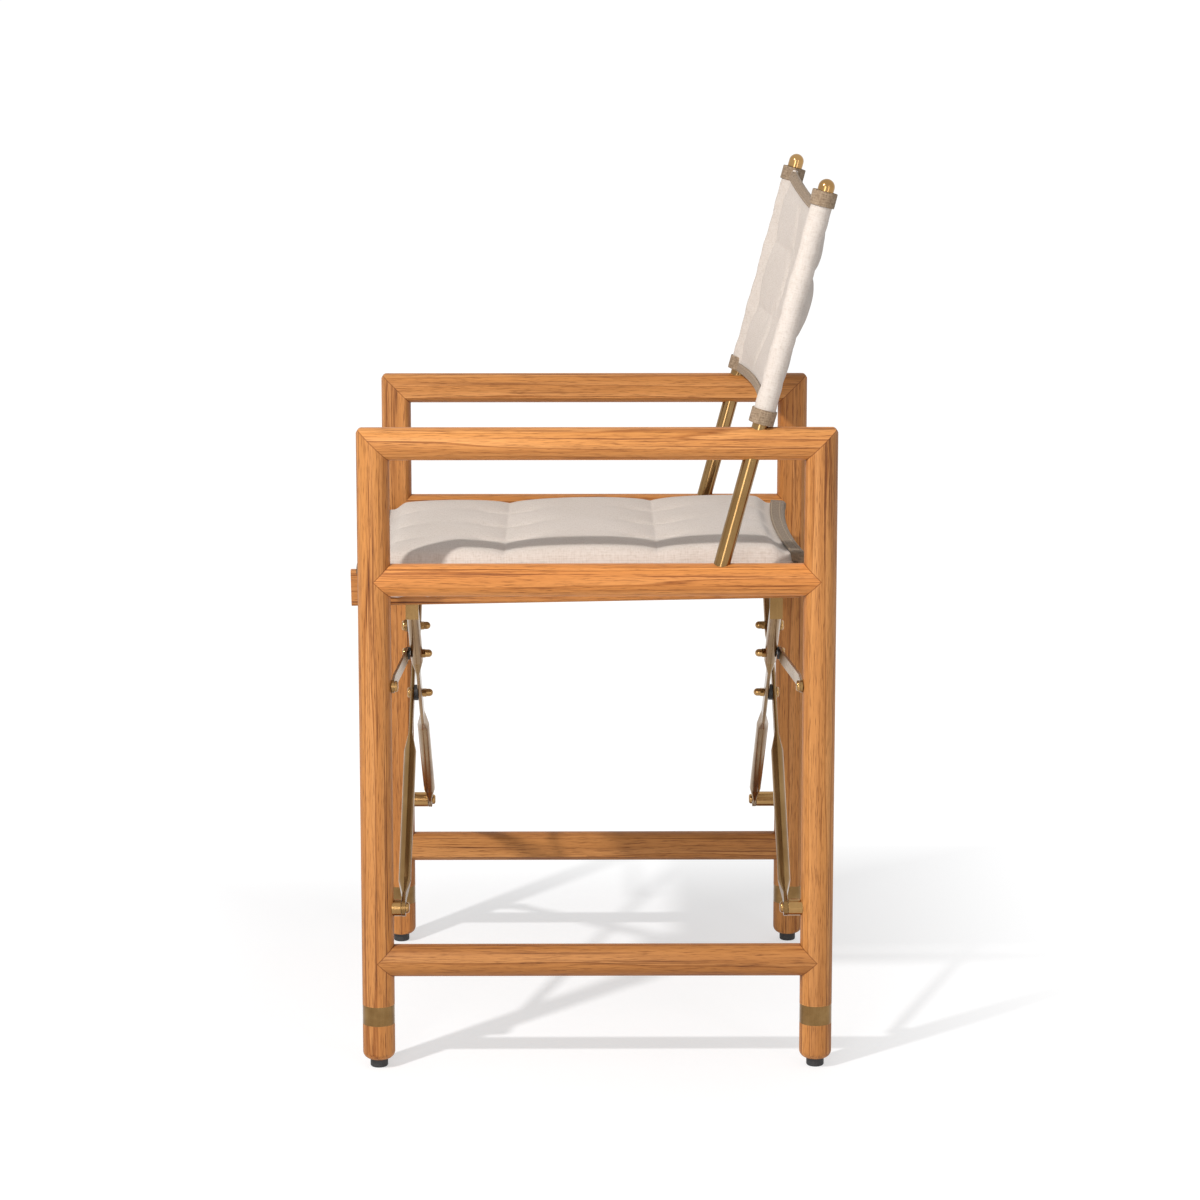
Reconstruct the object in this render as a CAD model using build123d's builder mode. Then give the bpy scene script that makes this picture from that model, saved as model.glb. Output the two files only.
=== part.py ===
# Folding director's chair: two side frames of round timber, joined by brass bars that cross at the
# front and at the rear, with a quilted seat sling on two battens and a quilted back sling on two posts.
# Millimetres, +Z up, floor at Z = 0. The sitter faces -X, so the left side frame stands at -Y.

import os
from math import atan2, cos, degrees, hypot, radians, sin

from build123d import *

os.makedirs("parts", exist_ok=True)

# Side frames
frame_width = 466.0  # between the middle planes of the two side frames
frame_depth = 466.0  # over the front and rear legs
arm_height = 640.0  # floor to the top of the armrests
rail_height = 490.5  # floor to the axis of the seat rails
stretcher_height = 108.5  # floor to the axis of the stretchers
timber_d = 32.0  # legs, armrests, rails and stretchers
timber_flat = 12.5  # axis of a timber to its flat inner face
corner_r = 8.0  # outer corners of the side frames
corner_ease = 0.3  # the corner arcs start this far outside the timbers
leg_end_r = 8.0  # rounding of the legs' lower ends
dowel_d = 9.0
dowel_half = 13.0  # length of a dowel on each side of its joint

# Feet and ferrules
foot_height = 8.2  # floor to the wood
foot_d = 17.5
foot_edge_r = 2.0
foot_screw_d = 4.0
foot_screw_length = 26.0
foot_screw_head_d = 8.0
foot_screw_head = 2.4
ferrule_bottom = 44.5
ferrule_height = 19.5
ferrule_wall = 1.2

# Back posts
post_d = 16.0
post_wall = 1.5
post_lean = 15.0  # degrees from upright
post_setback = 75.8  # rear end of the armrest to the post's axis, at the armrest's top
post_foot_cover = 9.5  # wood left under the post in the seat rail
post_above_arm = 232.5  # along the post, from the armrest's top
finial_skirt = 6.0
finial_plug = 12.0

# Cross braces
pivot_height = 162.0  # floor to the bars' lower pivots
bar_drop = 25.4  # middle of a batten down to the end of its bars
bar_d = 12.5
bar_oval = 0.1  # a bar's round stretches are this much wider than thick
bar_flat_width = 17.0
bar_flat = 4.0  # thickness where a bar is flattened
bar_taper = 20.0  # from flat to round
bar_foot_flat = 14.0  # flat length above the lower pivot
cross_flat_half = 62.0  # flat length each side of the crossing
brace_lead = 2.5  # the braces stand this far in front of the middle of the frame
barrel_d = 16.5
barrel_a = 10.0  # barrels on the left legs, mean of front and rear
barrel_b = 18.0  # barrels on the right legs, mean of front and rear
barrel_edge_r = 0.6
barrel_seat = 2.2  # how deep a barrel is let into its leg
pin_d = 6.0
pin_embed = 18.0  # length of a pivot screw in the leg
pin_head_d = 11.0
pin_head = 3.4
pin_head_r = 2.4
nut_across = 9.4  # over an acorn nut's corners
nut_base = 4.0
nut_dome_d = 8.0
nut_length = 11.0
nut_thread = 6.5

# Links between bars and legs
link_reach = 96.5  # crossing to the link's pivot, along the bar
link_screw_height = 385.0
link_width = 13.0
link_thickness = 2.5
link_washer = 1.8
link_bar_flat = 14.0  # flat end of a link, at the bar
link_jog = 118.0  # sloping part of a link
link_bend_r = 30.0
link_bolt_d = 5.0
link_bolt_seat = 1.2  # flat cut into the bar under the nut
link_screw_embed = 14.0

# Seat
batten_thickness = 12.0
batten_tall = 36.0
batten_height = 477.5  # floor to the middle of the battens
seat_slope = 1.0  # degrees, battens and seat, front end lower
batten_inset = 58.0  # middle plane of a side frame to the middle of its batten
batten_overhang = 10.0  # past the front legs
batten_edge_r = 3.0
tab_width = 13.0  # plate on top of each bar, against the batten
tab_thickness = 3.0
tab_screw_d = 4.0
tab_screw_low = 6.0  # below the batten's middle
tab_screw_high = 9.0  # above the batten's middle
tab_screw_grip = 8.0
tab_screw_head_d = 8.0
tab_screw_head = 2.0
tab_screw_taper = 20  # degrees
seat_rear_gap = 1.0  # seat and battens to the rear legs' faces
seat_front_gap = 8.0  # seat's front edge to the battens' front ends
seat_seams = (-91.5, 60.5)  # sewn channels across the seat, from the middle of the frame
seat_rows = 4  # puffs across the seat
seat_crown = 13.0  # top of the puffs above the battens
seat_channel = 6.5  # top of the sewn channels above the battens
seat_edge = 4.0
seat_draw = 10.0  # how far the front and rear edges are drawn in
seat_binding = 12.0
seat_binding_thickness = 5.0
hem_thickness = 1.6
hem_tall = 24.0

# Back sling
sleeve_wall = 3.2
sleeve_lift = 3.5  # along the post, from the armrest's top to the sleeve
sleeve_length = 232.5
band_tall = 14.5
band_wall = 0.8
back_rows = 3
back_columns = 4
back_puff = 8.0  # half thickness at the middle of a puff
back_channel = 3.0
back_edge = 2.0
back_swell = 0.6  # rise between the crossings of the sewn channels
back_bow = 14.0  # how far the middle of the back gives to the rear
back_scoop_top = 20.0
back_scoop_bottom = 16.0
back_binding = 10.0
back_binding_thickness = 6.0

# Both slings: how far a puff is still below its crest, halfway between its crest and an edge
end_ease = 0.25

# Clearances
fit_gap = 0.05  # round a fixed pin, post or dowel, and round a turning pin
run_gap = 0.3  # between faces that turn or move past each other
dowel_end_gap = 0.5

# Values that follow from the sizes above
timber_r = timber_d / 2
half_width = frame_width / 2
half_depth = frame_depth / 2
frame_mid_x = batten_overhang / 2
brace_mid_x = frame_mid_x - brace_lead
arm_axis = arm_height - timber_r
leg_offset = half_depth - timber_r
leg_face = half_depth - timber_d
batten_y = half_width - batten_inset
batten_top = batten_height + batten_tall / 2
slope_sin = sin(radians(seat_slope))
slope_cos = cos(radians(seat_slope))
batten_front = (batten_tall / 2 * slope_sin - half_depth - batten_overhang) / slope_cos
batten_rear = leg_face - seat_rear_gap
tab_y = batten_y - batten_thickness / 2 - tab_thickness
tab_screw_heights = (batten_height - tab_screw_low, batten_height + tab_screw_high)
bar_top = batten_height - bar_drop
bar_angle = degrees(atan2(bar_top - pivot_height, half_width + tab_y))
bar_rise = sin(radians(bar_angle))
bar_run = cos(radians(bar_angle))
cross_distance = half_width / bar_run
cross_height = pivot_height + cross_distance * bar_rise
bar_offset = {
    "a": leg_face - barrel_a - run_gap - bar_flat / 2,
    "b": leg_face - barrel_b - run_gap - bar_flat / 2,
}
link_pivot_y = link_reach * bar_run
link_pivot_z = cross_height + link_reach * bar_rise
seat_low = batten_top + run_gap
seat_half = batten_y + batten_thickness / 2 + hem_thickness
seat_front = batten_front + seat_front_gap
seat_rear = batten_rear
post_r = post_d / 2
post_sin = sin(radians(post_lean))
post_cos = cos(radians(post_lean))
post_foot_z = rail_height - timber_r + post_foot_cover
post_to_arm = (arm_height - post_foot_z) / post_cos
post_foot_x = half_depth - post_setback - post_to_arm * post_sin
post_length = post_to_arm + post_above_arm
sleeve_bottom = post_to_arm + sleeve_lift
sleeve_top = sleeve_bottom + sleeve_length
sleeve_r = post_r + run_gap + sleeve_wall
panel_half = half_width - sleeve_r - band_wall - run_gap

ON_BASE = (Align.CENTER, Align.CENTER, Align.MIN)
SIDES = {"left": -1, "right": 1}
ENDS = {"front": -1, "rear": 1}


def save(piece, name, slope=0):
    """Label a finished piece and write it as the node of that name. A piece with a slope is first
    turned by it about the middle of the battens, front end down."""
    solid = piece.part
    if slope:
        solid = solid.rotate(Axis((frame_mid_x, 0, batten_height), (0, 1, 0)), -slope)
    solid.label = name
    export_step(solid, f"parts/{name}.step")


def on_slope(x, z):
    """Where a point of the level seat comes to lie on the sloping one."""
    run, rise = x - frame_mid_x, z - batten_height
    return (
        frame_mid_x + run * slope_cos - rise * slope_sin,
        batten_height + run * slope_sin + rise * slope_cos,
    )


def side_plane(side):
    """Middle plane of a side frame: local x runs to the rear, local y is the height."""
    return Plane(origin=(frame_mid_x, side * half_width, 0), x_dir=(1, 0, 0), z_dir=(0, -1, 0))


def across_plane(x, y, z):
    """Plane that faces the rear: local x runs to the right, local y is the height."""
    return Plane(origin=(x, y, z), x_dir=(0, 1, 0), z_dir=(1, 0, 0))


def post_plane(y, distance):
    """Plane square to the back posts, at a distance along them from their feet."""
    x = frame_mid_x + post_foot_x + distance * post_sin
    z = post_foot_z + distance * post_cos
    return Plane(origin=(x, y, z), x_dir=(0, 1, 0), z_dir=(post_sin, 0, post_cos))


def corner_point(end, angle):
    """Point of a side frame's rounded upper corner, from upright (0) to level (90). The arc starts
    just outside the timbers, so that it meets them at an angle."""
    x = half_depth + corner_ease - corner_r + corner_r * cos(radians(angle))
    z = arm_height + corner_ease - corner_r + corner_r * sin(radians(angle))
    return (end * x, z)


def mitre_end(end):
    """Point of the mitre's line inside the side frame, clear of the timbers."""
    return (end * (leg_face - timber_r), arm_height - timber_d - timber_r)


def leg_place(side, end):
    """Axis position of a leg."""
    return frame_mid_x + end * leg_offset, side * half_width


def cut_round_x(x, y, z, diameter, length):
    """Cut a round hole along X, centred on a point."""
    with Locations((x, y, z)):
        Cylinder(diameter / 2, length, rotation=(0, 90, 0), mode=Mode.SUBTRACT)


def mitre_plane(side, end):
    """Plane of the mitre between an armrest and a leg, facing into the armrest."""
    x, y = leg_place(side, end)
    return Plane(origin=(x, y, arm_axis), z_dir=(-end, 0, 1))


# Timber frame

def make_leg(side, end):
    x, y = leg_place(side, end)
    face_x = frame_mid_x + end * leg_face
    hole_d = dowel_d + 2 * fit_gap
    with BuildPart() as leg:
        with BuildSketch(Plane(origin=(x, y, 0), x_dir=(1, 0, 0), z_dir=(0, -1, 0))):
            with Locations((timber_r / 2, (foot_height + arm_height) / 2)):
                Rectangle(timber_r, arm_height - foot_height)
            fillet(vertices().group_by(Axis.Y)[0].sort_by(Axis.X)[-1], leg_end_r)
        revolve(axis=Axis((x, y, 0), (0, 0, 1)))
        with BuildSketch(Plane((x, y, 0))):
            with Locations((0, -side * (timber_flat + timber_r))):
                Rectangle(2 * timber_d, timber_d)
        extrude(amount=arm_height, mode=Mode.SUBTRACT)
        with BuildSketch(side_plane(side)):
            with BuildLine():
                Polyline(
                    corner_point(end, 45),
                    mitre_end(end),
                    (mitre_end(end)[0], 0),
                    (corner_point(end, 0)[0], 0),
                    corner_point(end, 0),
                )
                ThreePointArc(corner_point(end, 0), corner_point(end, 22.5), corner_point(end, 45))
            make_face()
        extrude(amount=timber_d, both=True, mode=Mode.INTERSECT)
        with BuildSketch(Plane((x, y, ferrule_bottom))):
            ferrule_face(side)
        extrude(amount=ferrule_height, mode=Mode.SUBTRACT)
        with BuildSketch(mitre_plane(side, end)):
            Circle(hole_d / 2)
        extrude(amount=-dowel_half - dowel_end_gap, mode=Mode.SUBTRACT)
        for height in (rail_height, stretcher_height):
            cut_round_x(face_x, y, height, hole_d, 2 * (dowel_half + dowel_end_gap))
        cut_round_x(face_x, y, pivot_height, barrel_d + 2 * fit_gap, 2 * barrel_seat)
        cut_round_x(face_x, y, pivot_height, pin_d + 2 * fit_gap, 2 * (pin_embed + dowel_end_gap))
        cut_round_x(face_x, y, link_screw_height, link_bolt_d + 2 * fit_gap,
                    2 * (link_screw_embed + dowel_end_gap))
        with Locations((x, y, foot_height)):
            Cylinder(
                foot_screw_d / 2 + fit_gap,
                2 * (foot_screw_length + dowel_end_gap),
                mode=Mode.SUBTRACT,
            )
    return leg


def ferrule_face(side):
    """Flush band round a leg: the timber's outline less the same outline inside the band."""
    Circle(timber_r)
    with Locations((0, -side * (timber_flat + timber_r))):
        Rectangle(2 * timber_d, timber_d, mode=Mode.SUBTRACT)
    offset(amount=-ferrule_wall, kind=Kind.INTERSECTION, mode=Mode.SUBTRACT)


def timber_section(side, height):
    """Section of a timber that runs along X, with its flat towards the other side frame."""
    with BuildSketch(across_plane(frame_mid_x, side * half_width, height)) as section:
        Circle(timber_r)
        with Locations((-side * (timber_flat + timber_r), 0)):
            Rectangle(timber_d, 2 * timber_d, mode=Mode.SUBTRACT)
    return section.sketch


def cut_post_hole(side):
    with Locations(post_plane(side * half_width, 0)):
        Cylinder(post_r + fit_gap, post_length, align=ON_BASE, mode=Mode.SUBTRACT)


def make_armrest(side):
    with BuildPart() as arm:
        extrude(timber_section(side, arm_axis), amount=half_depth, both=True)
        with BuildSketch(side_plane(side)):
            with BuildLine():
                for end in ENDS.values():
                    ThreePointArc(corner_point(end, 45), corner_point(end, 67.5), corner_point(end, 90))
                    Line(corner_point(end, 45), mitre_end(end))
                Line(corner_point(-1, 90), corner_point(1, 90))
                Line(mitre_end(-1), mitre_end(1))
            make_face()
        extrude(amount=timber_d, both=True, mode=Mode.INTERSECT)
        cut_post_hole(side)
        for end in ENDS.values():
            with BuildSketch(mitre_plane(side, end)):
                Circle(dowel_d / 2 + fit_gap)
            extrude(amount=dowel_half + dowel_end_gap, mode=Mode.SUBTRACT)
    return arm


def make_cross_rail(side, height):
    """Rail between the legs of one side, hollowed at both ends to fit their round faces."""
    with BuildPart() as rail:
        extrude(timber_section(side, height), amount=leg_offset, both=True)
        for end in ENDS.values():
            x, y = leg_place(side, end)
            with Locations((x, y, height)):
                Cylinder(timber_r, 2 * timber_d, mode=Mode.SUBTRACT)
            face_x = frame_mid_x + end * leg_face
            cut_round_x(face_x, y, height, dowel_d + 2 * fit_gap, 2 * (dowel_half + dowel_end_gap))
        if height == rail_height:
            cut_post_hole(side)
    return rail


def make_dowels(side):
    with BuildPart() as dowels:
        for end in ENDS.values():
            with BuildSketch(mitre_plane(side, end)):
                Circle(dowel_d / 2)
            extrude(amount=dowel_half, both=True)
            for height in (rail_height, stretcher_height):
                with Locations((frame_mid_x + end * leg_face, side * half_width, height)):
                    Cylinder(dowel_d / 2, 2 * dowel_half, rotation=(0, 90, 0))
    return dowels


def make_ferrules(side):
    with BuildPart() as ferrules:
        for end in ENDS.values():
            with BuildSketch(Plane((*leg_place(side, end), ferrule_bottom))):
                ferrule_face(side)
            extrude(amount=ferrule_height)
    return ferrules


def make_feet(side):
    with BuildPart() as feet:
        for end in ENDS.values():
            x, y = leg_place(side, end)
            with BuildSketch(Plane(origin=(x, y, 0), x_dir=(1, 0, 0), z_dir=(0, -1, 0))):
                with BuildLine():
                    Polyline(
                        (foot_d / 2, foot_edge_r),
                        (foot_d / 2, foot_height),
                        (foot_screw_d / 2 + fit_gap, foot_height),
                        (foot_screw_d / 2 + fit_gap, foot_height / 2),
                        (foot_screw_head_d / 2 + fit_gap, foot_height / 2),
                        (foot_screw_head_d / 2 + fit_gap, 0),
                        (foot_d / 2 - foot_edge_r, 0),
                    )
                    RadiusArc((foot_d / 2 - foot_edge_r, 0), (foot_d / 2, foot_edge_r), -foot_edge_r)
                make_face()
            revolve(axis=Axis((x, y, 0), (0, 0, 1)))
    return feet


def make_foot_screws(side):
    head_bottom = foot_height / 2 - foot_screw_head
    with BuildPart() as screws:
        for end in ENDS.values():
            x, y = leg_place(side, end)
            with Locations((x, y, head_bottom)):
                Cylinder(foot_screw_head_d / 2, foot_screw_head, align=ON_BASE)
            with Locations((x, y, foot_height / 2)):
                Cylinder(foot_screw_d / 2, foot_height / 2 + foot_screw_length, align=ON_BASE)
    return screws


# Back posts

def make_post(side):
    with BuildPart() as post:
        with BuildSketch(post_plane(side * half_width, 0)):
            Circle(post_r)
            Circle(post_r - post_wall, mode=Mode.SUBTRACT)
        extrude(amount=post_length)
    return post


def make_finial(side):
    """Bullet-shaped end with a plug in the tube."""
    foot = post_plane(side * half_width, post_length)
    profile = Plane(origin=foot.origin, x_dir=(0, 1, 0), z_dir=(post_cos, 0, -post_sin))
    plug_r = post_r - post_wall - fit_gap
    with BuildPart() as finial:
        with BuildSketch(profile):
            with BuildLine():
                Polyline(
                    (0, finial_skirt + post_r),
                    (0, -finial_plug),
                    (plug_r, -finial_plug),
                    (plug_r, 0),
                    (post_r, 0),
                    (post_r, finial_skirt),
                )
                CenterArc((0, finial_skirt), post_r, 0, 90)
            make_face()
        revolve(axis=Axis(foot.origin, foot.z_dir))
    return finial


# Cross braces

def bar_plane(bar, end, distance):
    """Plane square to a brace bar, at a distance along it from its lower pivot."""
    lean = -1 if bar == "a" else 1
    origin = (
        brace_mid_x + end * bar_offset[bar],
        lean * (half_width - distance * bar_run),
        pivot_height + distance * bar_rise,
    )
    return Plane(origin=origin, x_dir=(1, 0, 0), z_dir=(0, -lean * bar_run, bar_rise))


def make_bar(bar, end):
    lean = -1 if bar == "a" else 1
    x = brace_mid_x + end * bar_offset[bar]
    flat = (bar_flat_width, bar_flat)
    rod = (bar_d + bar_oval, bar_d)
    last = cross_distance + tab_y / bar_run
    stations = (
        (0, flat),
        (bar_foot_flat, flat),
        (bar_foot_flat + bar_taper, rod),
        (cross_distance - cross_flat_half - bar_taper, rod),
        (cross_distance - cross_flat_half, flat),
        (cross_distance + cross_flat_half, flat),
        (cross_distance + cross_flat_half + bar_taper, rod),
        (last + bar_d, rod),
    )
    tab_low = bar_top - bar_d
    tab_high = on_slope(x, batten_top - batten_edge_r)[1]
    tab_middle = -lean * (tab_y + tab_thickness / 2)
    link_y = -lean * link_pivot_y
    with BuildPart() as rod_part:
        for distance, size in stations:
            with BuildSketch(bar_plane(bar, end, distance)):
                SlotOverall(*size, rotation=90)
        loft(ruled=True)
        with Locations((x, lean * half_width, pivot_height)):
            Cylinder(bar_flat_width / 2, bar_flat, rotation=(0, 90, 0))
        with Locations((x, -lean * (tab_y + 2 * bar_d), bar_top)):
            Box(4 * bar_d, 4 * bar_d, 8 * bar_d, mode=Mode.SUBTRACT)
        with Locations((x, tab_middle, tab_low)):
            Box(tab_width, tab_thickness, tab_high - tab_low, align=ON_BASE)
        cut_round_x(x, lean * half_width, pivot_height, pin_d + 2 * fit_gap, 2 * bar_d)
        cut_round_x(x, 0, cross_height, pin_d + 2 * fit_gap, 2 * bar_d)
        cut_round_x(x, link_y, link_pivot_z, link_bolt_d + 2 * fit_gap, 2 * bar_d)
        seat_x = x - end * bar_d / 2
        cut_round_x(seat_x, link_y, link_pivot_z, nut_across + 2 * fit_gap, 2 * link_bolt_seat)
        for height in tab_screw_heights:
            screw_x, screw_z = on_slope(x, height)
            with Locations((screw_x, tab_middle, screw_z)):
                Cylinder(
                    tab_screw_d / 2 + fit_gap,
                    2 * tab_thickness,
                    rotation=(90, 0, 0),
                    mode=Mode.SUBTRACT,
                )
    return rod_part


def make_barrels(side, length):
    """Turned spacers between the legs of one side and the feet of their bars."""
    with BuildPart() as barrels:
        for end in ENDS.values():
            own = length + end * brace_lead
            middle = frame_mid_x + end * (leg_face + barrel_seat / 2 - own / 2)
            with Locations((middle, side * half_width, pivot_height)):
                Cylinder(barrel_d / 2, own + barrel_seat, rotation=(0, 90, 0))
            cut_round_x(middle, side * half_width, pivot_height, pin_d + 2 * fit_gap, 2 * own)
        rims = barrels.edges().filter_by(GeomType.CIRCLE)
        fillet(rims.filter_by(lambda rim: rim.radius > barrel_d / 2 - fit_gap), barrel_edge_r)
    return barrels


def make_headed_pins(places, diameter):
    """Pins along X with a domed head. Each place is its end of the chair, y, z, and the distances of
    its head's seat and of its tip from the middle of the frame."""
    with BuildPart() as pins:
        for end, y, z, seat, tip in places:
            outward = 1 if seat > tip else -1
            origin = (frame_mid_x + end * seat, y, z)
            plane = Plane(origin=origin, x_dir=(0, 1, 0), z_dir=(end * outward, 0, 0))
            with BuildSketch(plane):
                Circle(pin_head_d / 2)
            extrude(amount=pin_head)
            top = plane.offset(pin_head).origin
            crown = pins.faces().filter_by(Plane.YZ).sort_by_distance(top)[0]
            fillet(crown.edges(), pin_head_r)
            with BuildSketch(plane):
                Circle(diameter / 2)
            extrude(amount=-abs(seat - tip))
    return pins


def make_acorn_nuts(y, z, seat, bolt_d, stub):
    """Acorn nuts on the faces of the front and rear bars that look to the middle of the chair. A nut
    with a stub holds that length of its bolt, a nut without one is bored for a bolt."""
    with BuildPart() as nuts:
        for end in ENDS.values():
            base = Plane(origin=(brace_mid_x + end * seat, y, z), x_dir=(0, 1, 0), z_dir=(-end, 0, 0))
            with BuildSketch(base):
                RegularPolygon(nut_across / 2, 6)
            extrude(amount=nut_base)
            with Locations(base.offset(nut_base)):
                Cylinder(nut_dome_d / 2, nut_length - nut_base - nut_dome_d / 2, align=ON_BASE)
            with Locations(base.offset(nut_length - nut_dome_d / 2)):
                Sphere(nut_dome_d / 2, arc_size1=0, align=ON_BASE)
            if stub:
                with Locations(base.offset(-stub)):
                    Cylinder(bolt_d / 2, stub, align=ON_BASE)
            else:
                with Locations(base):
                    Cylinder(bolt_d / 2 + fit_gap, nut_thread, align=ON_BASE, mode=Mode.SUBTRACT)
    return nuts


def make_cross_nuts():
    return make_acorn_nuts(0, cross_height, bar_offset["b"] - bar_flat / 2 - run_gap, pin_d, 0)


def make_cross_spacers():
    outer = bar_offset["a"] - bar_flat / 2
    inner = bar_offset["b"] + bar_flat / 2 + run_gap
    with BuildPart() as spacers:
        for end in ENDS.values():
            middle = brace_mid_x + end * (outer + inner) / 2
            with Locations((middle, 0, cross_height)):
                Cylinder(barrel_d / 2, outer - inner, rotation=(0, 90, 0))
            cut_round_x(middle, 0, cross_height, pin_d + 2 * fit_gap, barrel_d)
    return spacers


# Links

def link_bar(side):
    """The left links hold the bars that stand on the right legs, and the other way round."""
    return "b" if side < 0 else "a"


def washer_seat(side):
    """Face of a link's washer that looks to the bar, from the middle of the braces."""
    return bar_offset[link_bar(side)] + bar_d / 2 + run_gap


def make_link(side, end):
    """Strip that steps outwards next to the bar and then runs flat to its screw on the leg."""
    at_bar = washer_seat(side) + link_washer - end * brace_lead
    at_leg = leg_face - run_gap - link_thickness
    span = half_width - link_pivot_y
    rise = link_pivot_z - link_screw_height
    slant = degrees(atan2(rise, span))
    length = hypot(span, rise)
    pivot = (side * half_width, link_screw_height)
    route = (
        (-link_width, at_leg),
        (length - link_bar_flat - link_jog, at_leg),
        (length - link_bar_flat, at_bar),
        (length + link_width, at_bar),
    )
    outer = [(d, f + link_thickness) for d, f in route]
    flat = Plane(
        origin=(frame_mid_x, *pivot),
        x_dir=(0, -side * cos(radians(slant)), sin(radians(slant))),
        z_dir=Vector(0, -side * cos(radians(slant)), sin(radians(slant))).cross(Vector(end, 0, 0)),
    )
    with BuildPart() as link:
        with BuildSketch(flat):
            with BuildLine():
                FilletPolyline(*route, radius=link_bend_r)
                FilletPolyline(*outer, radius=link_bend_r)
                Line(route[0], outer[0])
                Line(route[-1], outer[-1])
            make_face()
        extrude(amount=link_width, both=True)
        with BuildSketch(across_plane(frame_mid_x, *pivot)):
            with Locations(Location((-side * span / 2, rise / 2), -side * slant)):
                SlotCenterToCenter(length, link_width)
        extrude(amount=2 * half_depth, both=True, mode=Mode.INTERSECT)
        middle_x = frame_mid_x + end * leg_face
        for y, z in (pivot, (side * link_pivot_y, link_pivot_z)):
            cut_round_x(middle_x, y, z, link_bolt_d + 2 * fit_gap, timber_d * 2)
    return link


def make_link_washers(side):
    with BuildPart() as washers:
        for end in ENDS.values():
            middle = brace_mid_x + end * (washer_seat(side) + link_washer / 2)
            with Locations((middle, side * link_pivot_y, link_pivot_z)):
                Cylinder(link_width / 2, link_washer, rotation=(0, 90, 0))
            cut_round_x(middle, side * link_pivot_y, link_pivot_z, link_bolt_d + 2 * fit_gap, timber_d)
    return washers


def make_link_heads(side):
    tip = washer_seat(side)
    seat = tip + link_washer + link_thickness
    places = [
        (end, side * link_pivot_y, link_pivot_z, seat - end * brace_lead, tip - end * brace_lead)
        for end in ENDS.values()
    ]
    return make_headed_pins(places, link_bolt_d)


def make_link_screws(side):
    seat = leg_face - link_thickness - 2 * run_gap
    tip = leg_face + link_screw_embed
    places = [(end, side * half_width, link_screw_height, seat, tip) for end in ENDS.values()]
    return make_headed_pins(places, link_bolt_d)


def make_link_nuts(side):
    """Acorn nuts, each with the end of its bolt through the bar."""
    seat = bar_offset[link_bar(side)] - bar_d / 2 + link_bolt_seat
    stub = bar_d - link_bolt_seat - run_gap
    return make_acorn_nuts(side * link_pivot_y, link_pivot_z, seat, link_bolt_d, stub)


def make_pivot_screws(side, bar):
    seat = bar_offset[bar] - bar_flat / 2 - run_gap
    tip = leg_face + pin_embed
    places = [
        (end, side * half_width, pivot_height, seat - end * brace_lead, tip) for end in ENDS.values()
    ]
    return make_headed_pins(places, pin_d)


def make_cross_bolts():
    seat = bar_offset["a"] + bar_flat / 2
    tip = bar_offset["b"] - bar_flat / 2 - run_gap - nut_thread + dowel_end_gap
    places = [
        (end, 0, cross_height, seat - end * brace_lead, tip - end * brace_lead) for end in ENDS.values()
    ]
    return make_headed_pins(places, pin_d)


# Seat battens

def tab_screw_places(side):
    bar = "a" if side > 0 else "b"
    for end in ENDS.values():
        for height in tab_screw_heights:
            yield brace_mid_x + end * bar_offset[bar], height


def make_batten(side):
    middle = frame_mid_x + (batten_front + batten_rear) / 2
    inner = side * (batten_y - batten_thickness / 2)
    with BuildPart() as batten:
        with Locations((middle, side * batten_y, batten_height)):
            Box(batten_rear - batten_front, batten_thickness, batten_tall)
        fillet(batten.edges().filter_by(Axis.X), batten_edge_r)
        for x, height in tab_screw_places(side):
            with Locations((x, inner, height)):
                Cylinder(tab_screw_d / 2 + fit_gap, 2 * (tab_screw_grip + dowel_end_gap),
                         rotation=(90, 0, 0), mode=Mode.SUBTRACT)
    return batten


def make_tab_screws(side):
    with BuildPart() as screws:
        for x, height in tab_screw_places(side):
            with BuildSketch(Plane(origin=(x, side * tab_y, height), z_dir=(0, side, 0))):
                Circle(tab_screw_d / 2)
            extrude(amount=tab_thickness + tab_screw_grip)
            with BuildSketch(Plane(origin=(x, side * tab_y, height), z_dir=(0, -side, 0))):
                Circle(tab_screw_head_d / 2)
            extrude(amount=tab_screw_head, taper=tab_screw_taper)
    return screws


def make_hem(side):
    """Edge of the seat sling, turned down over the outer face of its batten."""
    with BuildPart() as hem:
        middle = frame_mid_x + (batten_front + seat_front_gap + batten_rear) / 2
        y = side * (batten_y + batten_thickness / 2 + hem_thickness / 2)
        with Locations((middle, y, batten_top - batten_edge_r)):
            Box(batten_rear - batten_front - seat_front_gap, hem_thickness, hem_tall,
                align=(Align.CENTER, Align.CENTER, Align.MAX))
    return hem


# Seat sling

def seat_section(x, crest):
    """Upright section across the seat: flat below, a row of puffs above."""
    pitch = 2 * seat_half / seat_rows
    seam = crest * seat_channel / seat_crown
    with BuildSketch(across_plane(frame_mid_x + x, 0, seat_low)) as section:
        with BuildLine():
            Polyline((-seat_half, seat_edge), (-seat_half, 0), (seat_half, 0), (seat_half, seat_edge))
            for row in range(seat_rows):
                y = -seat_half + row * pitch
                left = seat_edge if row == 0 else seam
                right = seat_edge if row == seat_rows - 1 else seam
                ThreePointArc((y, left), (y + pitch / 2, crest), (y + pitch, right))
        make_face()
    return section.sketch


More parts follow.
